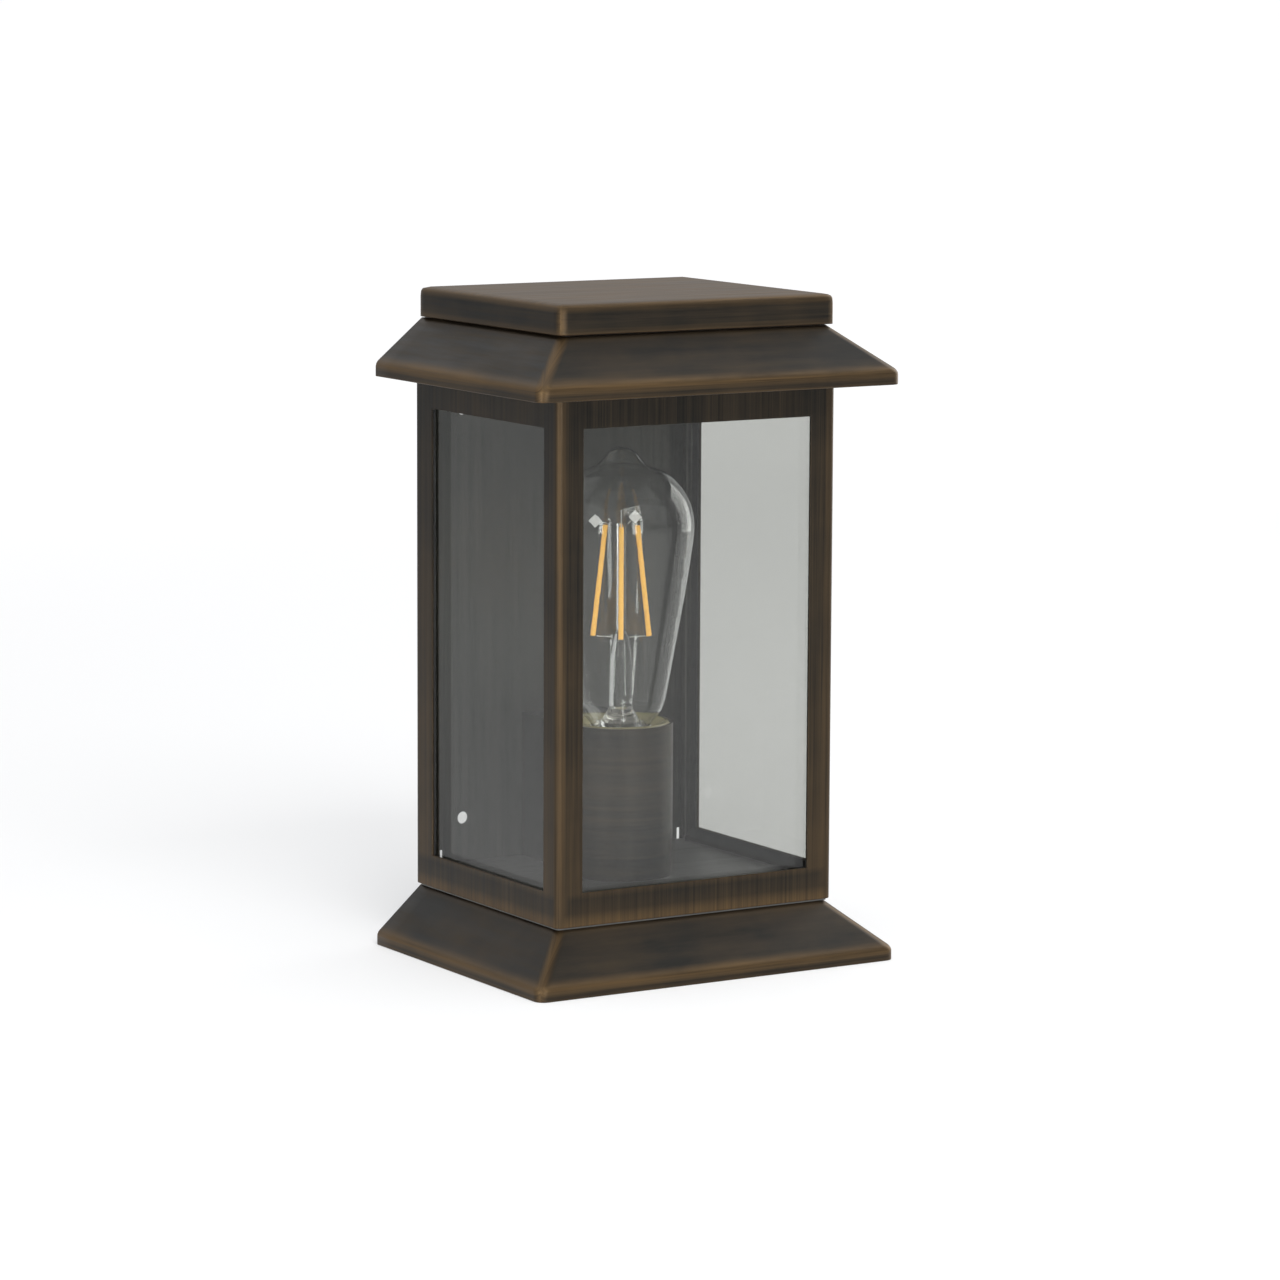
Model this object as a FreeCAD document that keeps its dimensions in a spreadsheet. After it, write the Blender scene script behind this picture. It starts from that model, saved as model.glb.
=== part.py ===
import FreeCAD, Part
import Sketcher
import math
import os

# A flat-backed box lantern light: a three-sided glazed sheet-metal box on a flared base, with a lift-off
# roof and one screw-in filament lamp. +Z is up, the front faces -Y, and the origin is the centre of the
# bounding box at the floor.

SIZES = [
    # the glazed box
    ("body_width", 139.0),
    ("body_depth", 122.0),
    ("flare", 20.5),
    ("flare_radius", 4.6),
    ("sheet", 1.2),
    ("body_bottom", 26.0),
    ("body_top", 251.7),
    ("corner_radius", 2.5),
    ("window_bottom", 40.5),
    ("window_top", 238.0),
    ("front_stile", 12.6),
    ("side_stile_front", 11.8),
    ("side_stile_back", 13.4),
    # base and floor
    ("base_fascia", 5.5),
    ("base_arris", 3.6),
    ("base_top", 25.2),
    ("seam_inset", 1.6),
    ("floor_level", 33.6),
    ("fit_gap", 0.1),
    ("flange_width", 10.0),
    ("base_screw_out", 62.0),
    ("base_screw_front", -44.0),
    ("base_screw_back", 64.0),
    # fixings
    ("m4_radius", 2.0),
    ("m4_hole", 2.2),
    ("m4_head", 3.8),
    ("m4_head_high", 2.4),
    ("m4_nut_corners", 8.1),
    ("m4_nut_high", 3.2),
    ("m3_radius", 1.5),
    ("m3_hole", 1.6),
    ("m3_head", 2.8),
    ("m3_head_high", 2.0),
    # back plate
    ("wall_hole_radius", 2.75),
    ("wall_hole_out", 47.0),
    ("wall_hole_low", 53.3),
    ("wall_hole_high", 236.0),
    ("cable_level", 85.0),
    ("cable_hole_radius", 7.0),
    ("notch_out", 66.0),
    ("notch_width", 2.0),
    ("notch_bottom", 32.3),
    ("notch_top", 38.7),
    ("left_notch_in", 57.0),
    ("left_notch_top", 39.7),
    ("plate_flange", 4.4),
    # glazing
    ("seal_depth", 0.7),
    ("seal_inset", 0.4),
    ("glass_thick", 3.0),
    ("glass_lap", 5.0),
    ("glass_top", 242.0),
    ("runner_thick", 0.9),
    ("runner_foot", 3.6),
    ("runner_lip", 1.6),
    # roof
    ("eave_bottom", 252.0),
    ("eave_fascia", 258.0),
    ("eave_arris", 4.0),
    ("roof_top", 276.9),
    ("cap_bottom", 277.5),
    ("cap_top", 290.5),
    ("cap_width", 137.4),
    ("cap_depth", 122.2),
    ("cap_radius", 3.0),
    ("roof_seam_inset", 1.7),
    ("stud_out", 50.0),
    ("stud_front", -30.0),
    ("stud_back", 50.0),
    ("collar_gap", 1.2),
    ("collar_depth", 8.0),
    ("spring_thick", 0.4),
    ("spring_back", 28.0),
    # lampholder
    ("lamp_back", 12.6),
    ("tube_radius", 23.0),
    ("tube_top", 101.0),
    ("tube_wall", 1.2),
    ("nipple_radius", 5.0),
    ("nipple_bore", 3.3),
    ("nipple_bottom", 28.0),
    ("nipple_top", 56.0),
    ("nipple_nut_corners", 16.2),
    ("holder_bottom", 52.0),
    ("holder_seat", 60.0),
    ("holder_radius", 17.0),
    ("holder_waist", 19.5),
    ("holder_rim_bottom", 97.4),
    ("holder_rim_top", 101.4),
    ("holder_rim_radius", 21.7),
    ("holder_bore", 13.95),
    ("terminal_out", 9.0),
    ("terminal_behind", 8.0),
    ("terminal_size", 6.0),
    ("contact_thick", 0.7),
    ("shell_wall", 0.5),
    ("shell_bottom", 68.0),
    ("shell_top", 97.0),
    ("lamp_cap_radius", 13.4),
    # wiring cover
    ("cover_half", 16.5),
    ("cover_front", 37.0),
    ("cover_top", 98.5),
    ("cover_sheet", 1.0),
    ("cover_lip", 9.0),
    ("cover_screw_out", 11.0),
    ("cover_screw_back", 54.0),
    ("bush_level", 46.0),
    ("bush_hole", 5.0),
    ("bush_bore", 3.4),
    ("cable_bore", 4.0),
    ("block_half", 14.0),
    ("block_front", 57.0),
    ("block_bottom", 58.0),
    ("block_top", 73.0),
    ("block_pitch", 9.0),
    ("block_screw_level", 65.5),
    ("earth_out", 9.0),
    ("earth_level", 43.0),
    ("earth_stud_front", 61.0),
    ("wire_radius", 0.9),
    # lamp
    ("filament_radius", 1.1),
    ("filament_low", 139.0),
    ("filament_high", 187.5),
    ("filament_low_out", 12.3),
    ("filament_high_out", 7.0),
    ("filament_turn", 238.6),
    ("lead_radius", 0.35),
    ("tab_side", 4.2),
    ("tab_thick", 0.5),
    ("stem_top", 138.5),
    ("driver_half", 8.0),
    ("driver_thick", 1.6),
]

doc = FreeCAD.newDocument("BoxLantern")
sheet = doc.addObject("Spreadsheet::Sheet", "Sizes")
for row, (alias, size) in enumerate(SIZES, start=1):
    sheet.set(f"A{row}", alias)
    sheet.set(f"B{row}", str(size))
    sheet.setAlias(f"B{row}", alias)
doc.recompute()

# Places that many pieces share, as expressions of the sheet's cells.
BACK = "(Sizes.body_depth + Sizes.flare) / 2"
FRONT = "(Sizes.flare - Sizes.body_depth) / 2"
SIDE = "Sizes.body_width / 2"
BACK_INNER = f"({BACK} - Sizes.sheet)"
FRONT_INNER = f"({FRONT} + Sizes.sheet)"
SIDE_INNER = f"({SIDE} - Sizes.sheet)"
PANE_OUTER = "(Sizes.sheet + Sizes.seal_depth)"

nodes = []


def value(alias):
    """The number in one cell of the sheet."""
    return float(sheet.get(alias))


def node(part, label):
    """Give a finished sub-part its own label, which names its file."""
    part.Label = label
    nodes.append(part)
    return part


def cuboid(name, x_span, y_span, z_span):
    """A box between three pairs of expressions."""
    box = doc.addObject("Part::Box", name)
    spans = zip(("Length", "Width", "Height"), "xyz", (x_span, y_span, z_span))
    for size, axis, (low, high) in spans:
        box.setExpression(size, f"({high}) - ({low})")
        box.setExpression(f"Placement.Base.{axis}", f"{low}")
    return box


def across(side, near, far):
    """The x span from near to far out on one side, -1 for the left and 1 for the right."""
    return (near, far) if side > 0 else (f"-1 * {far}", f"-1 * {near}")


def rod(name, radius, x, y, z_span):
    """An upright cylinder at x, y between a pair of heights."""
    low, high = z_span
    cylinder = doc.addObject("Part::Cylinder", name)
    cylinder.setExpression("Radius", f"{radius}")
    cylinder.setExpression("Height", f"({high}) - ({low})")
    cylinder.setExpression("Placement.Base.x", f"{x}")
    cylinder.setExpression("Placement.Base.y", f"{y}")
    cylinder.setExpression("Placement.Base.z", f"{low}")
    return cylinder


def bar(name, radius, x, y_span, z):
    """A cylinder along +Y at x, z between a pair of places."""
    low, high = y_span
    cylinder = doc.addObject("Part::Cylinder", name)
    cylinder.Placement.Rotation = FreeCAD.Rotation(FreeCAD.Vector(1, 0, 0), -90)
    cylinder.setExpression("Radius", f"{radius}")
    cylinder.setExpression("Height", f"({high}) - ({low})")
    cylinder.setExpression("Placement.Base.x", f"{x}")
    cylinder.setExpression("Placement.Base.y", f"{low}")
    cylinder.setExpression("Placement.Base.z", f"{z}")
    return cylinder


def hexagon(name, corners, x, y, z_span):
    """An upright hexagonal prism."""
    low, high = z_span
    prism = doc.addObject("Part::Prism", name)
    prism.Polygon = 6
    prism.setExpression("Circumradius", f"{corners} / 2")
    prism.setExpression("Height", f"({high}) - ({low})")
    prism.setExpression("Placement.Base.x", f"{x}")
    prism.setExpression("Placement.Base.y", f"{y}")
    prism.setExpression("Placement.Base.z", f"{low}")
    return prism


def fused(name, parts):
    """Solids joined into one."""
    union = doc.addObject("Part::MultiFuse", name)
    union.Shapes = parts
    return union


def cut(name, base, tools):
    """A solid less the tools."""
    result = doc.addObject("Part::Cut", name)
    result.Base = base
    result.Tool = tools[0] if len(tools) == 1 else fused(name + "Tools", tools)
    return result


def grouped(name, parts):
    """Several separate solids kept as one piece."""
    group = doc.addObject("Part::Compound", name)
    group.Links = parts
    return group


def mirrored(name, part):
    """The same piece on the other side of the object."""
    mirror = doc.addObject("Part::Mirroring", name)
    mirror.Source = part
    mirror.Normal = FreeCAD.Vector(1, 0, 0)
    mirror.Base = FreeCAD.Vector(0, 0, 0)
    return mirror


def origin_plane(body, role):
    """One of a body's three origin planes."""
    return next(item for item in body.Origin.OriginFeatures if item.Role == role)


def outline(body, name, role, corners, arcs=None, level="0"):
    """A closed sketch, counter-clockwise, with every corner bound to a pair of expressions. The sides
    that arcs names by their index are arcs, each with its centre's pair of expressions."""
    arcs = arcs or {}
    sketch = body.newObject("Sketcher::SketchObject", name)
    sketch.AttachmentSupport = [(origin_plane(body, role), "")]
    sketch.MapMode = "FlatFace"
    sketch.setExpression("AttachmentOffset.Base.z", level)

    def number(text):
        return float(sketch.evalExpression(f"1.0 * ({text})"))

    places = [(number(across), number(along)) for across, along in corners]
    count = len(corners)
    first_end = [1] * count
    for index, place in enumerate(places):
        start = FreeCAD.Vector(*place, 0)
        end = FreeCAD.Vector(*places[(index + 1) % count], 0)
        if index in arcs:
            centre = FreeCAD.Vector(*[number(text) for text in arcs[index]], 0)
            middle = centre + ((start + end) / 2 - centre).normalize() * start.distanceToPoint(centre)
            if (start - centre).cross(end - centre).z < 0:
                first_end[index] = 2
                start, end = end, start
            sketch.addGeometry(Part.Arc(start, middle, end), False)
        else:
            sketch.addGeometry(Part.LineSegment(start, end), False)
    for index in range(count):
        follower = (index + 1) % count
        sketch.addConstraint(Sketcher.Constraint(
            "Coincident", index, 3 - first_end[index], follower, first_end[follower]))
    bindings = [(index, first_end[index], pair, place)
                for index, (pair, place) in enumerate(zip(corners, places))]
    for index, pair in arcs.items():
        bindings.append((index, 3, (pair[0], None), (number(pair[0]), None)))
    for index, point, pair, place in bindings:
        for kind, text, size in zip("XY", pair, place):
            if text is None:
                continue
            bound = sketch.addConstraint(Sketcher.Constraint(f"Distance{kind}", -1, 1, index, point, size))
            sketch.setExpression(f"Constraints[{bound}]", f"{text}")
    return sketch


def turned(label, profile, y="Sizes.lamp_back"):
    """A piece turned about an upright axis from its radius and height profile."""
    body = doc.addObject("PartDesign::Body", label.title().replace("_", ""))
    sketch = outline(body, body.Name + "Profile", "XZ_Plane", profile)
    revolution = body.newObject("PartDesign::Revolution", body.Name + "Turn")
    revolution.Profile = sketch
    revolution.ReferenceAxis = (sketch, ["V_Axis"])
    revolution.Angle = 360.0
    body.Tip = revolution
    body.setExpression("Placement.Base.y", y)
    return body


def sleeve(label, inner, outer, z_span, y="Sizes.lamp_back"):
    """A turned ring with a plain bore."""
    low, high = z_span
    return turned(label, [(inner, low), (outer, low), (outer, high), (inner, high)], y)


def screw(name, shank, head, x, y, levels):
    """A pan-head screw put in from below: head bottom, head top and shank end heights."""
    head_low, head_high, shank_end = levels
    return fused(name, [
        rod(name + "Head", head, x, y, (head_low, head_high)),
        rod(name + "Shank", shank, x, y, (head_high, shank_end)),
    ])


def nut(name, corners, bore, x, y, z_span):
    """A plain hexagonal nut: its size across corners, and its bore's radius."""
    low, high = z_span
    return cut(name, hexagon(name + "Hex", corners, x, y, z_span),
               [rod(name + "Bore", bore, x, y, (f"{low} - 1", f"{high} + 1"))])


def pan_outline(body, name, half, front, back, radius, level):
    """The plan of a pan at one height: square at the back, rounded at the two front corners."""
    corners = [(f"-({half})", back), (f"-({half})", f"{front} + {radius}"),
               (f"-({half}) + {radius}", front), (f"{half} - {radius}", front),
               (half, f"{front} + {radius}"), (half, back)]
    arcs = {1: (f"-({half}) + {radius}", f"{front} + {radius}"),
            3: (f"{half} - {radius}", f"{front} + {radius}")}
    return outline(body, name, "XY_Plane", corners, arcs, level)


def pan_slab(name, half, front, back, radius, z_span):
    """A flat slab between two heights with its two front corners rounded."""
    low, high = z_span
    body = doc.addObject("PartDesign::Body", name)
    plan = pan_outline(body, name + "Plan", half, front, back, radius, low)
    slab = body.newObject("PartDesign::Pad", name + "Slab")
    slab.Profile = plan
    slab.setExpression("Length", f"({high}) - ({low})")
    body.Tip = slab
    doc.recompute()
    return body


def pan_block(name, wide, narrow, levels, back, radius):
    """A solid with an upright fascia and a slope in to a flat top: wide and narrow are each a half
    width and a front, and levels are the heights of the bottom, the fascia's top and the top."""
    bottom, fascia_top, top = levels
    body = doc.addObject("PartDesign::Body", name)
    foot = pan_outline(body, name + "Foot", *wide, back, radius, bottom)
    fascia = body.newObject("PartDesign::Pad", name + "Fascia")
    fascia.Profile = foot
    fascia.setExpression("Length", f"({fascia_top}) - ({bottom})")
    body.Tip = fascia
    doc.recompute()
    eave = pan_outline(body, name + "Eave", *wide, back, radius, fascia_top)
    crown = pan_outline(body, name + "Crown", *narrow, back, radius, top)
    slope = body.newObject("PartDesign::AdditiveLoft", name + "Slope")
    slope.Profile = eave
    slope.Sections = [crown]
    slope.Ruled = True
    body.Tip = slope
    doc.recompute()
    return body


def skirt(name, levels, narrow, arris):
    """A pressed pan of sheet metal, flat at the back and open below, with a rounded arris."""
    bottom, fascia_top, top = levels
    half = f"({SIDE} + Sizes.flare)"
    front = f"({FRONT} - Sizes.flare)"
    top_half, top_front = narrow
    outer = pan_block(name + "Outer", (half, front), narrow, levels, BACK, "Sizes.flare_radius")
    level = float(outer.evalExpression(f"1.0 * ({fascia_top})"))
    edges = []
    block = outer.Tip
    for index, edge in enumerate(block.Shape.Edges, start=1):
        box = edge.BoundBox
        if abs(box.ZMin - level) + abs(box.ZMax - level) < 0.01 and box.YMin < value("body_depth") / 2:
            edges.append(f"Edge{index}")
    rounding = outer.newObject("PartDesign::Fillet", name + "Arris")
    rounding.Base = (block, edges)
    rounding.setExpression("Radius", arris)
    outer.Tip = rounding
    inner = pan_block(name + "Inner", (f"({half} - Sizes.sheet)", f"({front} + Sizes.sheet)"),
                      (f"({top_half} - Sizes.sheet / 2)", f"({top_front} + Sizes.sheet / 2)"),
                      (f"{bottom} - 1", f"{fascia_top} - Sizes.sheet / 2", f"{top} - Sizes.sheet"),
                      BACK_INNER, "(Sizes.flare_radius - Sizes.sheet)")
    return cut(name + "Pan", outer, [inner])


# Base: a pressed pan that carries the box. Its flat top is inset a little from the box's walls.
base_half = f"({SIDE} - Sizes.seam_inset)"
base_front = f"({FRONT} + Sizes.seam_inset)"
base = skirt("Base", ("0", "Sizes.base_fascia", "Sizes.base_top"), (base_half, base_front),
             "Sizes.base_arris")
base_screw_places = [(f"{side} * Sizes.base_screw_out", place) for side in (-1, 1)
                     for place in ("Sizes.base_screw_front", "Sizes.base_screw_back")]
through_base = ("Sizes.base_top - 5", "Sizes.base_top + 5")
base_cuts = [rod("BaseHole", "Sizes.m4_hole", x, y, through_base) for x, y in base_screw_places]
base_cuts.append(rod("NippleHole", "Sizes.nipple_radius + 4", "0", "Sizes.lamp_back", through_base))
node(cut("BaseSkirt", base, base_cuts), "base_skirt")

# Floor tray: a folded tray inside the foot of the box, with an inward flange that is screwed to the base.
tray_half = f"({SIDE_INNER} - Sizes.fit_gap)"
tray_front = f"({FRONT_INNER} + Sizes.fit_gap)"
tray_back = f"({BACK_INNER} - Sizes.fit_gap)"
tray_block = pan_slab("TrayBlock", tray_half, tray_front, tray_back,
                      "(Sizes.corner_radius - Sizes.sheet)", ("Sizes.base_top", "Sizes.floor_level"))
tray_hollow = cuboid("TrayHollow",
                     (f"-{tray_half} + Sizes.sheet", f"{tray_half} - Sizes.sheet"),
                     (f"{tray_front} + Sizes.sheet", f"{tray_back} - Sizes.sheet"),
                     ("Sizes.base_top + Sizes.sheet", "Sizes.floor_level - Sizes.sheet"))
tray_mouth = cuboid("TrayMouth",
                    (f"-{tray_half} + Sizes.sheet + Sizes.flange_width",
                     f"{tray_half} - Sizes.sheet - Sizes.flange_width"),
                    (f"{tray_front} + Sizes.sheet + Sizes.flange_width",
                     f"{tray_back} - Sizes.sheet - Sizes.flange_width"),
                    ("Sizes.base_top - 1", "Sizes.base_top + Sizes.sheet + 1"))
cover_screw_places = [(f"{side} * Sizes.cover_screw_out", "Sizes.cover_screw_back") for side in (-1, 1)]
through_floor = ("Sizes.floor_level - 3", "Sizes.floor_level + 3")
tray_cuts = [tray_hollow, tray_mouth]
tray_cuts += [rod("TrayHole", "Sizes.m4_hole", x, y, ("Sizes.base_top - 1", "Sizes.base_top + 3"))
              for x, y in base_screw_places]
tray_cuts += [rod("CoverHole", "Sizes.m3_hole", x, y, through_floor) for x, y in cover_screw_places]
tray_cuts.append(rod("TrayNippleHole", "Sizes.nipple_radius + Sizes.fit_gap", "0", "Sizes.lamp_back",
                     through_floor))
node(cut("FloorTray", tray_block, tray_cuts), "floor_tray")

head_top = "Sizes.base_top - Sizes.sheet"
flange_top = "Sizes.base_top + Sizes.sheet"
base_screws = [screw("BaseScrew", "Sizes.m4_radius", "Sizes.m4_head", x, y,
                     (f"{head_top} - Sizes.m4_head_high", head_top, f"{flange_top} + Sizes.m4_nut_high + 1"))
               for x, y in base_screw_places]
node(grouped("BaseScrews", base_screws), "base_screws")
base_nuts = [nut("BaseNut", "Sizes.m4_nut_corners", "Sizes.m4_radius", x, y,
                 (flange_top, f"{flange_top} + Sizes.m4_nut_high")) for x, y in base_screw_places]
node(grouped("BaseNuts", base_nuts), "base_nuts")


# Box: the left, front and right walls folded from one sheet, each with a window opening.
box_body = doc.addObject("PartDesign::Body", "BodyFrame")
bend = "Sizes.corner_radius"
bend_front = f"{FRONT} + {bend}"
bend_side = f"{SIDE} - {bend}"
plan = outline(box_body, "WallPlan", "XY_Plane", [
    (f"-{SIDE}", BACK), (f"-{SIDE}", bend_front), (f"-({bend_side})", FRONT), (bend_side, FRONT),
    (SIDE, bend_front), (SIDE, BACK), (SIDE_INNER, BACK), (SIDE_INNER, bend_front),
    (bend_side, FRONT_INNER), (f"-({bend_side})", FRONT_INNER), (f"-{SIDE_INNER}", bend_front),
    (f"-{SIDE_INNER}", BACK)],
    {index: (f"{side}({bend_side})", bend_front) for index, side in ((1, "-"), (3, ""), (7, ""), (9, "-"))})
walls = box_body.newObject("PartDesign::Pad", "Walls")
walls.Profile = plan
walls.setExpression("Length", "Sizes.body_top - Sizes.body_bottom")
box_body.Tip = walls
box_body.setExpression("Placement.Base.z", "Sizes.body_bottom")
doc.recompute()


def window(name, role, span, reverse, through_all):
    """Cut one window opening through the walls, and check that metal was taken away."""
    before = box_body.Tip.Shape.Volume
    low, high = span
    bottom = "Sizes.window_bottom - Sizes.body_bottom"
    top = "Sizes.window_top - Sizes.body_bottom"
    corners = [(low, bottom), (high, bottom), (high, top), (low, top)]
    sketch = outline(box_body, name + "Outline", role, corners)
    opening = box_body.newObject("PartDesign::Pocket", name)
    opening.Profile = sketch
    opening.Type = 1
    opening.Midplane = through_all
    opening.Reversed = reverse
    box_body.Tip = opening
    doc.recompute()
    if not opening.Shape.Volume < before - 1000:
        raise RuntimeError(f"{name} cut nothing")


window("FrontWindow", "XZ_Plane", (f"-{SIDE} + Sizes.front_stile", f"{SIDE} - Sizes.front_stile"),
       True, False)
window("SideWindows", "YZ_Plane", (f"{FRONT} + Sizes.side_stile_front", f"{BACK} - Sizes.side_stile_back"),
       False, True)
node(box_body, "body_frame")

# Back plate: closes the back between the walls, with two forward flanges, four wall fixing holes, a
# cable hole and a relief notch under each flange, which is wider on the left.
through_plate = (f"{BACK} - 5", f"{BACK} + 5")
plate_parts = [cuboid("Plate", (f"-{SIDE_INNER}", SIDE_INNER), (BACK_INNER, BACK),
                      ("Sizes.body_bottom", "Sizes.body_top"))]
plate_cuts = [bar("CableHole", "Sizes.cable_hole_radius", "0", through_plate, "Sizes.cable_level")]
for side in (-1, 1):
    flange = across(side, f"({SIDE_INNER} - Sizes.sheet)", SIDE_INNER)
    plate_parts.append(cuboid("PlateFlange", flange, (f"{BACK} - Sizes.plate_flange", BACK),
                              ("Sizes.left_notch_top + 1", "Sizes.body_top")))
    for height in ("Sizes.wall_hole_low", "Sizes.wall_hole_high"):
        plate_cuts.append(bar("WallHole", "Sizes.wall_hole_radius", f"{side} * Sizes.wall_hole_out",
                              through_plate, height))
    notch = across(side, "(Sizes.notch_out - Sizes.notch_width / 2)",
                   "(Sizes.notch_out + Sizes.notch_width / 2)")
    plate_cuts.append(cuboid("Notch", notch, through_plate, ("Sizes.notch_bottom", "Sizes.notch_top")))
plate_cuts.append(cuboid("LeftNotch", ("-Sizes.notch_out", "-Sizes.left_notch_in"), through_plate,
                         ("Sizes.floor_level + 2", "Sizes.left_notch_top")))
node(cut("BackPlate", fused("PlateBlank", plate_parts), plate_cuts), "back_plate")


# Glazing: three clear panes, each standing on the tray in a pair of runners, with a black seal between
# the pane and the wall. The left pane and the right pane are mirror images.
def pane_span(low_stile, high_stile, low_edge, high_edge, grow):
    """A window's span along its wall, grown past both of its edges."""
    return (f"{low_edge} + {low_stile} - {grow}", f"{high_edge} - {high_stile} + {grow}")


def glazing(label, depth, along, z_span, front):
    """A slab behind a wall: depth is measured in from the wall's outer face."""
    near, far = depth
    name = label.title().replace("_", "")
    if front:
        return cuboid(name, along, (f"{FRONT} + {near}", f"{FRONT} + {far}"), z_span)
    return cuboid(name, (f"-{SIDE} + {near}", f"-{SIDE} + {far}"), along, z_span)


for front, low_stile, high_stile, low_edge, high_edge in (
        (True, "Sizes.front_stile", "Sizes.front_stile", f"-{SIDE}", SIDE),
        (False, "Sizes.side_stile_front", "Sizes.side_stile_back", FRONT, BACK)):
    lap = "Sizes.glass_lap"
    wide = pane_span(low_stile, high_stile, low_edge, high_edge, lap)
    narrow = pane_span(low_stile, high_stile, low_edge, high_edge, "Sizes.seal_inset")
    glass_depth = (PANE_OUTER, f"{PANE_OUTER} + Sizes.glass_thick")
    seal_depth = ("Sizes.sheet", PANE_OUTER)
    tall = ("Sizes.window_bottom - Sizes.glass_lap", "Sizes.window_top + Sizes.glass_lap")
    clear = ("Sizes.window_bottom - Sizes.seal_inset", "Sizes.window_top + Sizes.seal_inset")
    pane = glazing("glass_pane", glass_depth, wide, ("Sizes.floor_level", "Sizes.glass_top"), front)
    seal = cut("GlazingSeal", glazing("seal_blank", seal_depth, wide, tall, front),
               [glazing("seal_opening", ("0", "5"), narrow, clear, front)])
    # A runner has a foot on the stile, a riser past the pane's edge and a lip over the pane.
    top = f"({PANE_OUTER} + Sizes.glass_thick + Sizes.fit_gap + Sizes.runner_thick)"
    length = ("Sizes.floor_level + 3", "Sizes.glass_top + 1")
    runners = []
    for end, edge in ((-1, wide[0]), (1, wide[1])):
        start = f"({edge} + {end} * Sizes.fit_gap)"
        outer = f"({edge} + {end} * (Sizes.fit_gap + Sizes.runner_thick))"
        foot = f"({edge} + {end} * Sizes.runner_foot)"
        lip = f"({edge} - {end} * Sizes.runner_lip)"
        legs = [(("Sizes.sheet", "Sizes.sheet + Sizes.runner_thick"), (start, foot)),
                (("Sizes.sheet", top), (start, outer)),
                ((f"{top} - Sizes.runner_thick", top), (lip, outer))]
        runners.append(fused("Runner", [
            glazing("runner_leg", depth, span[::end], length, front) for depth, span in legs]))
    if front:
        node(pane, "glass_front")
        node(seal, "glazing_seal_front")
        node(grouped("RunnersFront", runners), "glass_runners_front")
    else:
        node(pane, "glass_left")
        node(seal, "glazing_seal_left")
        left = node(grouped("RunnersLeft", runners), "glass_runners_left")
        node(mirrored("GlassRight", pane), "glass_right")
        node(mirrored("SealRight", seal), "glazing_seal_right")
        node(mirrored("RunnersRight", left), "glass_runners_right")

# Roof: a pressed skirt with a flat top, a flat cap on it with a thin gasket between, and a liner tray
# whose collar drops inside the walls. Two leaf springs on the collar grip the side walls.
cap_front = f"({BACK} - Sizes.cap_depth)"
roof_half = "(Sizes.cap_width / 2 - Sizes.roof_seam_inset)"
roof_front = f"({cap_front} + Sizes.roof_seam_inset)"
roof = skirt("Roof", ("Sizes.eave_bottom", "Sizes.eave_fascia", "Sizes.roof_top"), (roof_half, roof_front),
             "Sizes.eave_arris")
stud_places = [(f"{side} * Sizes.stud_out", place) for side in (-1, 1)
               for place in ("Sizes.stud_front", "Sizes.stud_back")]
roof_holes = [rod("RoofHole", "Sizes.m4_hole", x, y, ("Sizes.roof_top - 5", "Sizes.roof_top + 5"))
              for x, y in stud_places]
node(cut("RoofSkirt", roof, roof_holes), "roof_skirt")

gasket_x = (f"-{roof_half} + 3", f"{roof_half} - 3")
gasket_y = (f"{roof_front} + 3", f"{BACK} - 3")
gasket_blank = cuboid("GasketBlank", gasket_x, gasket_y, ("Sizes.roof_top", "Sizes.cap_bottom"))
gasket_window = cuboid("GasketWindow", (f"{gasket_x[0]} + 6", f"{gasket_x[1]} - 6"),
                       (f"{gasket_y[0]} + 6", f"{gasket_y[1]} - 6"), ("270", "280"))
node(cut("RoofGasket", gasket_blank, [gasket_window]), "roof_gasket")


def rounded_block(name, half, front, back, z_span, radius):
    """A block with every edge rounded but the bottom ones."""
    low, high = z_span
    body = doc.addObject("PartDesign::Body", name)
    sketch = outline(body, name + "Plan", "XY_Plane", [
        (f"-({half})", front), (half, front), (half, back), (f"-({half})", back)])
    pad = body.newObject("PartDesign::Pad", name + "Pad")
    pad.Profile = sketch
    pad.setExpression("Length", f"({high}) - ({low})")
    body.Tip = pad
    body.setExpression("Placement.Base.z", low)
    doc.recompute()
    upper = [f"Edge{index}" for index, edge in enumerate(pad.Shape.Edges, start=1)
             if edge.BoundBox.ZMax > pad.Shape.BoundBox.ZMin + 0.01]
    rounding = body.newObject("PartDesign::Fillet", name + "Rounding")
    rounding.Base = (pad, upper)
    rounding.setExpression("Radius", radius)
    body.Tip = rounding
    return body


cap_outer = rounded_block("CapOuter", "Sizes.cap_width / 2", cap_front, BACK,
                          ("Sizes.cap_bottom", "Sizes.cap_top"), "Sizes.cap_radius")
cap_inner = rounded_block("CapInner", "Sizes.cap_width / 2 - Sizes.sheet", f"{cap_front} + Sizes.sheet",
                          BACK_INNER, ("Sizes.cap_bottom - 1", "Sizes.cap_top - Sizes.sheet"),
                          "Sizes.cap_radius - Sizes.sheet")
node(cut("RoofCap", cap_outer, [cap_inner]), "roof_cap")

cap_studs = [rod("CapStud", "Sizes.m4_radius", x, y, ("Sizes.roof_top - 8", "Sizes.cap_top - Sizes.sheet"))
             for x, y in stud_places]
node(grouped("CapStuds", cap_studs), "cap_studs")
nut_top = "Sizes.roof_top - Sizes.sheet"
cap_nuts = [nut("CapNut", "Sizes.m4_nut_corners", "Sizes.m4_radius", x, y,
                (f"{nut_top} - Sizes.m4_nut_high", nut_top)) for x, y in stud_places]
node(grouped("CapNuts", cap_nuts), "cap_nuts")

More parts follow.
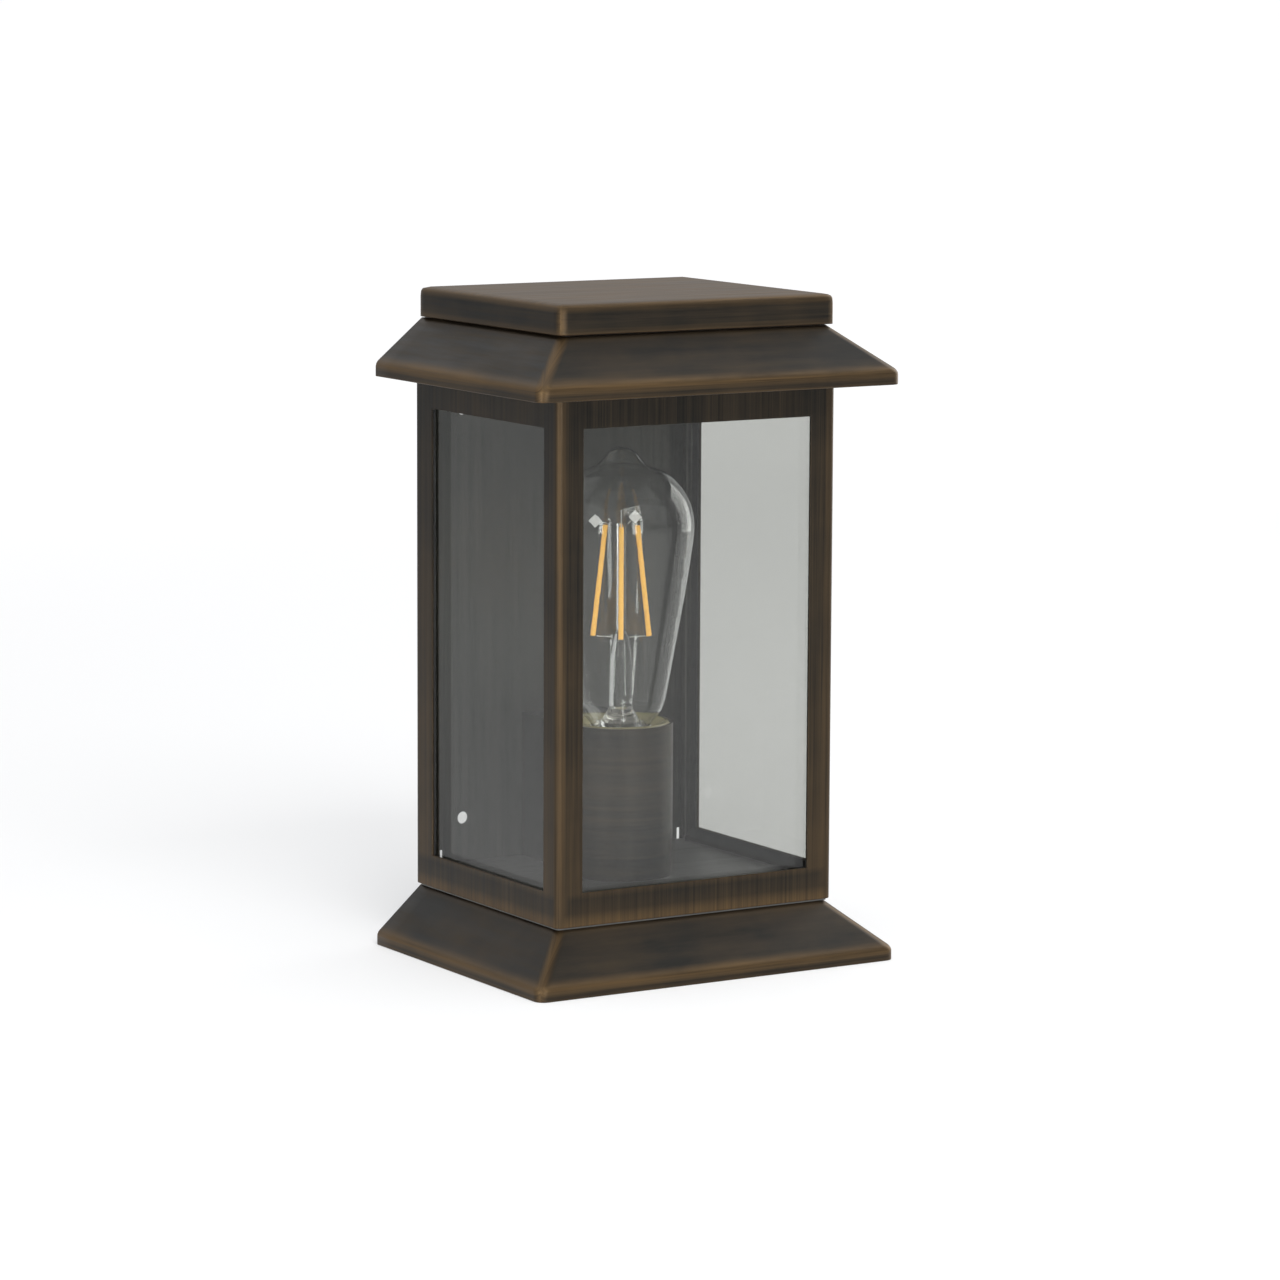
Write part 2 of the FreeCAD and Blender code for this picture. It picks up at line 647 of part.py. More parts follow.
liner_half = f"({SIDE} + Sizes.flare - Sizes.sheet - Sizes.fit_gap)"
collar_half = f"({SIDE_INNER} - Sizes.collar_gap)"
collar_front = f"({FRONT_INNER} + Sizes.collar_gap)"
collar_back = f"({BACK_INNER} - Sizes.collar_gap)"
liner_plate = pan_slab("LinerPlate", liner_half, f"({FRONT} - Sizes.flare + Sizes.sheet + Sizes.fit_gap)",
                       f"({BACK_INNER} - Sizes.fit_gap)", "(Sizes.flare_radius - Sizes.sheet)",
                       ("Sizes.eave_bottom", "Sizes.eave_bottom + Sizes.sheet"))
collar_block = cuboid("CollarBlock", (f"-{collar_half}", collar_half), (collar_front, collar_back),
                      ("Sizes.eave_bottom - Sizes.collar_depth", "Sizes.eave_bottom"))
collar_hollow = cuboid("CollarHollow",
                       (f"-{collar_half} + Sizes.sheet", f"{collar_half} - Sizes.sheet"),
                       (f"{collar_front} + Sizes.sheet", f"{collar_back} - Sizes.sheet"),
                       ("Sizes.eave_bottom - Sizes.collar_depth - 1", "Sizes.eave_bottom"))
collar = cut("Collar", collar_block, [collar_hollow])
node(fused("RoofLiner", [liner_plate, collar]), "roof_liner")

spring_parts = []
spring_levels = ("Sizes.eave_bottom - 7", "Sizes.eave_bottom - 2")
for side in (-1, 1):
    foot = across(side, collar_half, f"({collar_half} + Sizes.spring_thick)")
    bow = across(side, collar_half, f"({collar_half} + 2 * Sizes.spring_thick)")
    spring_parts.append(fused("RoofSpring", [
        cuboid("SpringFoot", foot, ("Sizes.spring_back - 40", "Sizes.spring_back"), spring_levels),
        cuboid("SpringBow", bow, ("Sizes.spring_back - 28", "Sizes.spring_back - 12"), spring_levels)]))
node(grouped("RoofSprings", spring_parts), "roof_springs")

# Lampholder: a sheet-metal tube on the tray round a porcelain screw holder, which stands on a threaded
# nipple through the tray.
tube_inner = "(Sizes.tube_radius - Sizes.tube_wall)"
tube = sleeve("lamp_tube", tube_inner, "Sizes.tube_radius", ("Sizes.floor_level", "Sizes.tube_top"))
tube_hole = bar("TubeWireHole", "Sizes.bush_hole", "0", ("20", "40"), "Sizes.bush_level")
node(cut("TubeWithWireHole", tube, [tube_hole]), "lampholder_tube")
nipple_span = ("Sizes.nipple_bottom", "Sizes.nipple_top")
node(sleeve("nipple", "Sizes.nipple_bore", "Sizes.nipple_radius", nipple_span), "nipple")
for label, levels in (
        ("nipple_nut", ("Sizes.nipple_bottom + 1", "Sizes.floor_level - Sizes.sheet")),
        ("nipple_locknut", ("Sizes.floor_level", "Sizes.floor_level + 3"))):
    node(nut(label.title().replace("_", ""), "Sizes.nipple_nut_corners", "Sizes.nipple_radius", "0",
             "Sizes.lamp_back", levels), label)

holder_base = sleeve("holder_base_blank", "Sizes.nipple_radius", "Sizes.holder_radius",
                     ("Sizes.holder_bottom", "Sizes.holder_seat"))


def terminal(name, side, gap):
    """One terminal block under the holder, or the pocket for it, larger by the gap."""
    middle = f"{side} * Sizes.terminal_out"
    behind = "Sizes.lamp_back + Sizes.terminal_behind"
    half = f"(Sizes.terminal_size / 2 + {gap})"
    bottom = f"Sizes.holder_bottom - {gap}"
    top = f"Sizes.holder_bottom + Sizes.terminal_size + {gap}"
    return cuboid(name, (f"{middle} - {half}", f"{middle} + {half}"),
                  (f"{behind} - {half}", f"{behind} + {half}"), (bottom, top))


node(cut("HolderBase", holder_base, [terminal("TerminalPocket", side, "Sizes.fit_gap") for side in (-1, 1)]),
     "holder_base")
node(grouped("HolderTerminals", [terminal("HolderTerminal", side, "0") for side in (-1, 1)]),
     "holder_terminals")

# The porcelain is a waisted cup with a thick rim, whose mouth slopes in to the screw shell.
rim_low, rim_high = ("Sizes.holder_rim_bottom", "Sizes.holder_rim_top")
rim_radius = "Sizes.holder_rim_radius"
cup_floor = "Sizes.nipple_radius * 2"
mouth = "Sizes.holder_bore + 0.85"
node(turned("holder_body", [
    (cup_floor, "Sizes.holder_seat"), ("Sizes.holder_radius", "Sizes.holder_seat"),
    ("Sizes.holder_waist", "Sizes.holder_seat + 3"), ("Sizes.holder_waist", rim_low), (rim_radius, rim_low),
    (rim_radius, f"{rim_high} - 0.8"), (f"{rim_radius} - 0.8", rim_high), (f"{rim_radius} - 2.1", rim_high),
    (mouth, f"{rim_low} + 0.8"), (mouth, "Sizes.shell_top"), ("Sizes.holder_bore", "Sizes.shell_top"),
    ("Sizes.holder_bore", "Sizes.shell_bottom"), (cup_floor, "Sizes.shell_bottom")]), "holder_body")
shell_inner = "Sizes.holder_bore - Sizes.shell_wall"
shell_floor = "Sizes.shell_bottom + Sizes.shell_wall"
node(turned("screw_shell", [
    ("11.2", "Sizes.shell_bottom"), ("Sizes.holder_bore", "Sizes.shell_bottom"),
    ("Sizes.holder_bore", "Sizes.shell_top"), (shell_inner, "Sizes.shell_top"),
    (shell_inner, shell_floor), ("11.2", shell_floor)]), "screw_shell")

# The contact is one sloping leaf, riveted to the cup's floor on the left.
contact_body = doc.addObject("PartDesign::Body", "CentreContact")
contact_foot = "Sizes.holder_seat"
leaf_top = "Sizes.holder_seat + Sizes.contact_thick"
contact_outline = outline(contact_body, "ContactOutline", "XZ_Plane", [
    ("-9", contact_foot), ("-4.4", contact_foot), ("4", "72"), ("4", "72 + Sizes.contact_thick"),
    ("3.4", "72 + Sizes.contact_thick"), ("-4.8", leaf_top), ("-9", leaf_top)])
contact_pad = contact_body.newObject("PartDesign::Pad", "ContactPad")
contact_pad.Profile = contact_outline
contact_pad.setExpression("Length", "Sizes.terminal_size")
contact_pad.Midplane = True
contact_body.Tip = contact_pad
contact_body.setExpression("Placement.Base.y", "Sizes.lamp_back")
node(contact_body, "centre_contact")

# Wiring cover: a folded box between the tube and the back plate over the terminal block, held by two
# screws from under the tray.
cover_block = cuboid("CoverBlock", ("-Sizes.cover_half", "Sizes.cover_half"),
                     ("Sizes.cover_front", BACK_INNER), ("Sizes.floor_level", "Sizes.cover_top"))
cover_hollow = cuboid("CoverHollow",
                      ("-Sizes.cover_half + Sizes.cover_sheet", "Sizes.cover_half - Sizes.cover_sheet"),
                      ("Sizes.cover_front + Sizes.cover_sheet", f"{BACK_INNER} + 1"),
                      ("Sizes.floor_level + Sizes.cover_sheet", "Sizes.cover_top - Sizes.cover_sheet"))
cover_mouth = cuboid("CoverMouth",
                     ("-Sizes.cover_half + Sizes.cover_lip", "Sizes.cover_half - Sizes.cover_lip"),
                     ("Sizes.cover_front + Sizes.cover_sheet", f"{BACK_INNER} + 1"),
                     ("Sizes.floor_level - 1", "Sizes.floor_level + 3"))
cover_cuts = [cover_hollow, cover_mouth]
cover_cuts.append(bar("CoverWireHole", "Sizes.bush_hole", "0", ("35", "40"), "Sizes.bush_level"))
cover_cuts += [rod("CoverScrewHole", "Sizes.m3_radius", x, y, through_floor) for x, y in cover_screw_places]
node(cut("WiringCover", cover_block, cover_cuts), "wiring_cover")
cover_head_top = "Sizes.floor_level - Sizes.sheet"
cover_screws = [screw("CoverScrew", "Sizes.m3_radius", "Sizes.m3_head", x, y,
                      (f"{cover_head_top} - Sizes.m3_head_high", cover_head_top, "Sizes.floor_level + 4.4"))
                for x, y in cover_screw_places]
node(grouped("CoverScrews", cover_screws), "cover_screws")

bush_outer = fused("BushOuter", [
    bar("BushBody", "Sizes.bush_hole - Sizes.fit_gap", "0", ("33", "40"), "Sizes.bush_level"),
    bar("BushFlange", "Sizes.bush_hole + 1.4", "0", ("Sizes.cover_front + Sizes.cover_sheet", "39.6"),
        "Sizes.bush_level")])
bush_bore = bar("BushBore", "Sizes.bush_bore", "0", ("30", "45"), "Sizes.bush_level")
node(cut("WireBush", bush_outer, [bush_bore]), "wire_bush")

grommet_outer = fused("GrommetOuter", [
    bar("GrommetNeck", "Sizes.cable_hole_radius", "0", (f"{BACK_INNER} - 1.5", BACK), "Sizes.cable_level"),
    bar("GrommetFlange", "Sizes.cable_hole_radius + 2", "0", (f"{BACK_INNER} - 1.5", BACK_INNER),
        "Sizes.cable_level")])
grommet_bore = bar("GrommetBore", "Sizes.cable_bore", "0", ("60", "80"), "Sizes.cable_level")
node(cut("CableGrommet", grommet_outer, [grommet_bore]), "cable_grommet")

block = cuboid("BlockBody", ("-Sizes.block_half", "Sizes.block_half"), ("Sizes.block_front", BACK_INNER),
               ("Sizes.block_bottom", "Sizes.block_top"))
block_cuts = []
terminal_screws = []
for pole in (-1, 0, 1):
    out = f"{pole} * Sizes.block_pitch"
    front = "Sizes.block_front"
    level = "Sizes.block_screw_level"
    block_cuts.append(rod("WireEntry", "1.4", out, f"{front} + 6",
                          ("Sizes.block_bottom - 1", "Sizes.block_top + 1")))
    block_cuts.append(bar("ScrewWell", "2.1", out, (f"{front} - 2", f"{front} + 3"), level))
    terminal_screws.append(bar("TerminalScrew", "1.9", out, (f"{front} + 1", f"{front} + 3"), level))
node(cut("TerminalBlock", block, block_cuts), "terminal_block")
node(grouped("TerminalScrews", terminal_screws), "terminal_screws")

earth_span = ("Sizes.earth_stud_front", BACK_INNER)
node(bar("EarthStudRod", "Sizes.m4_radius", "Sizes.earth_out", earth_span, "Sizes.earth_level"),
     "earth_stud")
earth_hex = doc.addObject("Part::Prism", "EarthNutHex")
earth_hex.Polygon = 6
earth_hex.Placement.Rotation = FreeCAD.Rotation(FreeCAD.Vector(1, 0, 0), -90)
earth_hex.setExpression("Circumradius", "Sizes.m4_nut_corners / 2")
earth_hex.setExpression("Height", "Sizes.m4_nut_high")
earth_hex.setExpression("Placement.Base.x", "Sizes.earth_out")
earth_hex.setExpression("Placement.Base.y", "Sizes.earth_stud_front + 3")
earth_hex.setExpression("Placement.Base.z", "Sizes.earth_level")
lug_ring = bar("LugRing", "2 * Sizes.m4_radius", "Sizes.earth_out",
               ("Sizes.earth_stud_front + 3 + Sizes.m4_nut_high", BACK_INNER), "Sizes.earth_level")
lug_neck = cuboid("LugNeck", ("Sizes.earth_out - 1.4", "Sizes.earth_out + 1.4"),
                  ("Sizes.earth_stud_front + 7.4", BACK_INNER),
                  ("Sizes.earth_level + Sizes.m4_radius", "Sizes.earth_level + 7"))
for label, blank in (("earth_nut", earth_hex), ("earth_lug", fused("LugBlank", [lug_ring, lug_neck]))):
    hole = bar("EarthHole", "Sizes.m4_radius", "Sizes.earth_out", ("60", "75"), "Sizes.earth_level")
    node(cut(label.title().replace("_", ""), blank, [hole]), label)


def wire(label, points):
    """An insulated wire: straight runs joined by arcs as large as the runs allow."""
    radius = value("wire_radius")
    corners = [FreeCAD.Vector(*point) for point in points]
    edges = []
    start = corners[0]
    length = 0.0
    for before, corner, after in zip(corners, corners[1:], corners[2:]):
        back = (before - corner).normalize()
        ahead = (after - corner).normalize()
        turn = math.pi - back.getAngle(ahead)
        shorter = min(before.distanceToPoint(corner), corner.distanceToPoint(after))
        trim = 0.45 * shorter
        bend = trim / math.tan(turn / 2)
        first = corner + back * trim
        last = corner + ahead * trim
        inward = (back + ahead).normalize()
        middle = corner + inward * (bend / math.cos(turn / 2) - bend)
        edges.append(Part.LineSegment(start, first).toShape())
        edges.append(Part.Arc(first, middle, last).toShape())
        length += edges[-1].Length + edges[-2].Length
        start = last
    edges.append(Part.LineSegment(start, corners[-1]).toShape())
    length += edges[-1].Length
    path = Part.Wire(edges)
    section = Part.Wire([Part.Circle(corners[0], corners[1] - corners[0], radius).toShape()])
    strand = doc.addObject("Part::Feature", label.title().replace("_", ""))
    strand.Shape = path.makePipeShell([section], True, False)
    expected = math.pi * radius ** 2 * length
    if abs(strand.Shape.Volume - expected) > 0.02 * expected:
        raise RuntimeError(f"{label} has the wrong volume")
    return node(strand, label)


wire("wire_live", [(-9, 63, 58), (-9, 61.5, 50), (-5, 55, 46), (-1.6, 47, 46), (-1.6, 39, 46),
                   (-2.2, 31, 45.6), (-8, 24.5, 46), (-8.9, 21, 51.3)])
wire("wire_neutral", [(0, 63, 58), (0.4, 61.5, 50), (1.4, 55, 46), (1.6, 47, 46.2), (1.6, 39, 46),
                      (2.2, 31, 45.6), (8, 24.5, 46), (8.9, 21, 51.3)])
wire("wire_earth", [(9, 63, 58), (9, 64.6, 53.5), (9, 68, 50.1)])

# Lamp: a screw cap with its insulator and tip, a driver board inside, and a clear blown bulb with four
# upright filaments round a glass stem.
cap_radius = "Sizes.lamp_cap_radius"
node(turned("lamp_tip_contact", [
    ("0", "73"), ("3.6", "73"), ("4.6", "73.8"), ("4.6", "74.6"), ("0", "74.6")]), "lamp_tip_contact")
node(turned("lamp_insulator", [
    ("0", "74.7"), ("5.4", "74.7"), ("12.4", "78.6"), ("12.4", "80"), ("0", "80")]), "lamp_insulator")
node(turned("lamp_screw_cap", [
    ("12.5", "78.6"), (f"{cap_radius} - 0.5", "78.6"), (cap_radius, "79.4"), (cap_radius, "99.5"),
    (f"{cap_radius} - 0.4", "99.5"), (f"{cap_radius} - 0.4", "80.1"), ("12.5", "80.1")]), "lamp_screw_cap")
board_depth = ("Sizes.lamp_back - Sizes.driver_thick / 2", "Sizes.lamp_back + Sizes.driver_thick / 2")
node(cuboid("LampDriver", ("-Sizes.driver_half", "Sizes.driver_half"), board_depth, ("81", "97")),
     "lamp_driver")


def glass_envelope():
    """The blown bulb: one smooth curve from the neck to the crown, offset inward by the wall."""
    wall = 0.8
    curve = [(12.8, 97.5), (13.1, 99.8), (15.0, 102.4), (17.9, 106.0), (19.7, 111.6), (23.8, 134.0),
             (28.2, 159.0), (31.3, 180.0), (31.9, 187.5), (29.8, 198.0), (24.5, 206.4), (16.9, 212.0),
             (11.6, 214.0), (8.7, 216.5), (5.2, 220.6), (0.0, 221.8)]
    outer = Part.BSplineCurve()
    outer.interpolate([FreeCAD.Vector(r, 0, z) for r, z in curve])
    steps = 60
    first, last = outer.FirstParameter, outer.LastParameter
    inner_points = []
    for index in range(steps + 1):
        parameter = first + (last - first) * index / steps
        point = outer.value(parameter)
        tangent = outer.tangent(parameter)[0]
        inner_points.append(point + FreeCAD.Vector(-tangent.z, 0, tangent.x) * wall)
    inner_points[-1].x = 0.0
    inner = Part.BSplineCurve()
    inner.approximate([FreeCAD.Vector(max(p.x, 0.0), 0, p.z) for p in inner_points], Tolerance=0.02)
    ends = ((outer.StartPoint, inner.StartPoint), (outer.EndPoint, inner.EndPoint))
    edges = [outer.toShape(), inner.toShape()]
    edges += [Part.LineSegment(low, high).toShape() for low, high in ends]
    section = Part.Face(Part.Wire(Part.__sortEdges__(edges)))
    return section.revolve(FreeCAD.Vector(0, 0, 0), FreeCAD.Vector(0, 0, 1), 360)


bulb = doc.addObject("Part::Feature", "LampGlass")
bulb.Shape = glass_envelope()
bulb.Placement.Base.y = value("lamp_back")
node(bulb, "lamp_glass")

node(turned("lamp_stem", [
    ("0", "97.5"), ("11.4", "97.5"), ("11.4", "98.6"), ("8.4", "101.5"), ("5.2", "107"), ("4.8", "130"),
    ("3.4", "Sizes.stem_top"), ("2.0", "Sizes.stem_top + 3"), ("2.0", "Sizes.filament_high + 1"),
    ("0", "Sizes.filament_high + 1")]), "lamp_stem")


def strut(name, radius, low, high):
    """A straight round rod between two points."""
    rise = high - low
    part = doc.addObject("Part::Cylinder", name)
    part.setExpression("Radius", radius)
    part.Height = rise.Length
    part.Placement = FreeCAD.Placement(low, FreeCAD.Rotation(FreeCAD.Vector(0, 0, 1), rise))
    return part


def around(turn, out, height):
    """A point round the lamp's axis."""
    angle = math.radians(turn)
    return FreeCAD.Vector(out * math.cos(angle), value("lamp_back") + out * math.sin(angle), height)


def link(turn, start, tab):
    """A short wire from a point towards a tab standing on its corner, clear at both ends."""
    out, rise = tab[0] - start[0], tab[1] - start[1]
    half_diagonal = value("tab_side") / math.sqrt(2)
    free = 1 - half_diagonal / (abs(out) + abs(rise))
    low, high = (around(turn, start[0] + share * free * out, start[1] + share * free * rise)
                 for share in (0.25, 0.9))
    return strut("TabWire", "Sizes.lead_radius", low, high)


# Each filament's top wire ends in a square tab standing on its corner. The wires are bent by hand, so
# the four tabs sit at slightly different places: distance out from the axis, and height above.
tab_places = ((8.7, 2.9), (6.0, 3.8), (8.7, 2.9), (11.4, 2.0))
filaments = []
tabs = []
leads = []
for quarter, (tab_out, tab_rise) in enumerate(tab_places):
    turn = value("filament_turn") + 90 * quarter
    low = around(turn, value("filament_low_out"), value("filament_low"))
    high = around(turn, value("filament_high_out"), value("filament_high"))
    filaments.append(strut("Filament", "Sizes.filament_radius", low, high))
    tab = doc.addObject("Part::Box", "FilamentTab")
    tab.setExpression("Length", "Sizes.tab_side")
    tab.setExpression("Width", "Sizes.tab_thick")
    tab.setExpression("Height", "Sizes.tab_side")
    tab_place = (tab_out, value("filament_high") + tab_rise)
    half_side = value("tab_side") / 2
    centred = FreeCAD.Vector(-half_side, -value("tab_thick") / 2, -half_side)
    on_corner = FreeCAD.Placement(FreeCAD.Vector(0, 0, 0), FreeCAD.Rotation(FreeCAD.Vector(0, 1, 0), 45))
    facing = FreeCAD.Placement(around(turn, *tab_place), FreeCAD.Rotation(FreeCAD.Vector(0, 0, 1), turn))
    tab.Placement = facing * on_corner * FreeCAD.Placement(centred, FreeCAD.Rotation())
    tabs.append(tab)
    leads.append(link(turn, (value("filament_high_out"), value("filament_high")), tab_place))
    leads.append(link(turn, (2.2, value("filament_high") + 0.4), tab_place))
    foot = around(turn, 3.9, value("stem_top"))
    end = low + (foot - low).normalize() * 1.6
    leads.append(strut("FilamentLead", "Sizes.lead_radius", foot, end))
node(grouped("Filaments", filaments), "lamp_filaments")
node(grouped("FilamentTabs", tabs), "filament_tabs")
node(grouped("FilamentLeads", leads), "filament_leads")

doc.recompute()
for item in doc.Objects:
    if "Invalid" in item.State or "Error" in item.State:
        raise RuntimeError(f"{item.Label} failed: {item.State}")
for part in nodes:
    if part.Shape.isNull() or not part.Shape.isValid():
        raise RuntimeError(f"{part.Label} has no valid shape")
os.makedirs("parts", exist_ok=True)
for part in nodes:
    part.Shape.exportStep(f"parts/{part.Label}.step")
print(len(nodes), "nodes")
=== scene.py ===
import bpy
import math
from mathutils import Matrix, Vector


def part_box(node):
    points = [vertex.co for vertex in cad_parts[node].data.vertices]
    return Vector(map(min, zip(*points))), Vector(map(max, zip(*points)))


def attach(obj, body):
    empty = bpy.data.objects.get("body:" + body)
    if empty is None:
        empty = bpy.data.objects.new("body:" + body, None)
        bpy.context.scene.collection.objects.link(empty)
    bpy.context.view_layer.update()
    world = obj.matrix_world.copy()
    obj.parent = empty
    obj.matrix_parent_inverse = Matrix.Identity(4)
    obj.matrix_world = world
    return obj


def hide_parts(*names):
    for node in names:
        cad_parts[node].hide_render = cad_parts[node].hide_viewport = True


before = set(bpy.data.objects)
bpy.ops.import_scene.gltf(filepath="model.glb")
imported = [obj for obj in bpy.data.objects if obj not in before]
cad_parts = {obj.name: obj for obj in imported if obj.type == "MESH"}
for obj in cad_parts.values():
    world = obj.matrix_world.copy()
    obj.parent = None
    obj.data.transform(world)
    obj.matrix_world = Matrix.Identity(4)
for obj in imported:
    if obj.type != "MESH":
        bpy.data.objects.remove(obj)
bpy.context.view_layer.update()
MM = 0.001

# ---------------------------------------------------------------------------------------------------
# The studio: a pale floor that runs far back, a grey room, two soft lights that throw the shadows, and
# three that shine in the glass and the metal. None of it belongs to the lantern.

VIEW_TURN = math.radians(31.44)
VIEW_DROP = math.radians(8.16)
VIEW_ROLL = math.radians(0.264)
VIEW_PLACE = Vector((-1.1317, -1.8545, 0.4501))
VIEW_LENS = 141.7

ahead = Vector((math.sin(VIEW_TURN) * math.cos(VIEW_DROP), math.cos(VIEW_TURN) * math.cos(VIEW_DROP),
                -math.sin(VIEW_DROP)))
level_right = Vector((math.cos(VIEW_TURN), -math.sin(VIEW_TURN), 0.0))
level_up = level_right.cross(ahead)
camera_right = level_right * math.cos(VIEW_ROLL) + level_up * math.sin(VIEW_ROLL)
camera_up = level_up * math.cos(VIEW_ROLL) - level_right * math.sin(VIEW_ROLL)
camera_data = bpy.data.cameras.new("studio_camera")
camera_data.lens = VIEW_LENS
camera_data.sensor_width = 36.0
camera_data.clip_end = 200.0
camera = bpy.data.objects.new("studio_camera", camera_data)
camera.matrix_world = Matrix((
    (camera_right.x, camera_up.x, -ahead.x, VIEW_PLACE.x),
    (camera_right.y, camera_up.y, -ahead.y, VIEW_PLACE.y),
    (camera_right.z, camera_up.z, -ahead.z, VIEW_PLACE.z),
    (0.0, 0.0, 0.0, 1.0)))
bpy.context.scene.collection.objects.link(camera)
bpy.context.scene.camera = camera
bpy.context.scene.view_settings.view_transform = "Standard"

world = bpy.data.worlds.new("studio_room")
world.use_nodes = True
room = world.node_tree
room_place = room.nodes.new("ShaderNodeTexCoord")
room_height = room.nodes.new("ShaderNodeSeparateXYZ")
room.links.new(room_place.outputs["Generated"], room_height.inputs["Vector"])
room_shade = room.nodes.new("ShaderNodeMapRange")
room_shade.inputs["From Min"].default_value = 0.02
room_shade.inputs["From Max"].default_value = 0.75
room_shade.inputs["To Min"].default_value = 0.36
room_shade.inputs["To Max"].default_value = 0.9
room.links.new(room_height.outputs["Z"], room_shade.inputs["Value"])
room_facing = room.nodes.new("ShaderNodeVectorMath")
room_facing.operation = "DOT_PRODUCT"
room.links.new(room_place.outputs["Generated"], room_facing.inputs[0])
room_facing.inputs[1].default_value = (0.52, -0.85, 0.0)
room_front = room.nodes.new("ShaderNodeMapRange")
room_front.inputs["From Min"].default_value = 0.3
room_front.inputs["To Min"].default_value = 1.0
room_front.inputs["To Max"].default_value = 0.45
room.links.new(room_facing.outputs["Value"], room_front.inputs["Value"])
room_dim = room.nodes.new("ShaderNodeMath")
room_dim.operation = "MULTIPLY"
room.links.new(room_shade.outputs["Result"], room_dim.inputs[0])
room.links.new(room_front.outputs["Result"], room_dim.inputs[1])
room_seen = room.nodes.new("ShaderNodeLightPath")
room_choice = room.nodes.new("ShaderNodeMix")
room.links.new(room_seen.outputs["Is Camera Ray"], room_choice.inputs[0])
room.links.new(room_dim.outputs["Value"], room_choice.inputs[2])
room_choice.inputs[3].default_value = 1.05
room.links.new(room_choice.outputs[0], room.nodes["Background"].inputs["Strength"])
room.nodes["Background"].inputs["Color"].default_value = (0.97, 0.98, 1.0, 1.0)
bpy.context.scene.world = world


def softbox(name, place, target, size, power, shines):
    """A soft rectangular light at a place, facing a target. One that shines is mirrored in glass and metal
    and throws no shadow; the others throw the shadows and aren't mirrored."""
    lamp = bpy.data.lights.new(name, "AREA")
    lamp.shape = "RECTANGLE"
    lamp.size, lamp.size_y = size
    lamp.energy = power
    holder = bpy.data.objects.new(name, lamp)
    holder.location = place
    holder.rotation_euler = (Vector(target) - Vector(place)).to_track_quat("-Z", "Y").to_euler()
    holder.visible_glossy = shines
    lamp.use_shadow = not shines
    bpy.context.scene.collection.objects.link(holder)


softbox("key_softbox", (-0.35, -1.6, 1.5), (0.0, 0.0, 0.1), (1.0, 0.8), 26.0, False)
softbox("top_softbox", (-0.2, -0.9, 2.0), (0.0, 0.0, 0.0), (1.5, 1.5), 14.0, False)
softbox("rim_softbox", (1.25, 0.15, 0.5), (0.0, 0.0, 0.15), (0.8, 1.7), 10.0, True)
softbox("left_strip", (-1.75, -0.85, 0.35), (0.0, 0.0, 0.16), (0.22, 0.7), 6.0, True)
softbox("right_strip", (-0.35, -1.9, 0.35), (0.0, 0.0, 0.16), (0.26, 0.7), 6.0, True)

floor_mesh = bpy.data.meshes.new("studio_floor")
floor_mesh.from_pydata([(-30, -30, 0), (60, -30, 0), (60, 60, 0), (-30, 60, 0)], [], [(0, 1, 2, 3)])
studio_floor = bpy.data.objects.new("studio_floor", floor_mesh)
bpy.context.scene.collection.objects.link(studio_floor)
floor_paint = bpy.data.materials.new("studio_floor")
floor_paint.use_nodes = True
floor_shader = floor_paint.node_tree.nodes["Principled BSDF"]
floor_shader.inputs["Base Color"].default_value = (0.60, 0.60, 0.60, 1.0)
floor_shader.inputs["Roughness"].default_value = 0.7
floor_shader.inputs["Emission Color"].default_value = (1.0, 1.0, 1.0, 1.0)
floor_nodes = floor_paint.node_tree
floor_place = floor_nodes.nodes.new("ShaderNodeTexCoord")
floor_reach = floor_nodes.nodes.new("ShaderNodeVectorMath")
floor_reach.operation = "LENGTH"
floor_nodes.links.new(floor_place.outputs["Object"], floor_reach.inputs[0])
floor_glow = floor_nodes.nodes.new("ShaderNodeMapRange")
floor_glow.inputs["From Min"].default_value = 0.35
floor_glow.inputs["From Max"].default_value = 2.2
floor_glow.inputs["To Min"].default_value = 0.20
floor_glow.inputs["To Max"].default_value = 0.55
floor_nodes.links.new(floor_reach.outputs["Value"], floor_glow.inputs["Value"])
floor_seen = floor_nodes.nodes.new("ShaderNodeLightPath")
floor_white = floor_nodes.nodes.new("ShaderNodeMath")
floor_white.operation = "MULTIPLY"
floor_nodes.links.new(floor_seen.outputs["Is Camera Ray"], floor_white.inputs[0])
floor_nodes.links.new(floor_glow.outputs["Result"], floor_white.inputs[1])
floor_nodes.links.new(floor_white.outputs["Value"], floor_shader.inputs["Emission Strength"])
studio_floor.data.materials.append(floor_paint)

# ---------------------------------------------------------------------------------------------------
# Base skirt: one pan pressed from 1.2 mm sheet, brushed along its length, darkened to bronze and rubbed
# back to the copper on its arris and hips. It stands on its open rim and carries the glazed box.

SHEET = 1.2 * MM
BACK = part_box("base_skirt")[1].y


def node_kit(material):
    """A material's tree, its Principled shader, and a function that adds a linked node to the tree."""
    material.use_nodes = True
    tree = material.node_tree
    shader = tree.nodes["Principled BSDF"]

    def add(kind, links=None, **settings):
        item = tree.nodes.new(kind)
        for key, setting in settings.items():
            setattr(item, key, setting)
        for socket, source in (links or {}).items():
            target = item.inputs[socket]
            if isinstance(source, bpy.types.NodeSocket):
                tree.links.new(source, target)
            else:
                target.default_value = source
        return item

    return tree, shader, add


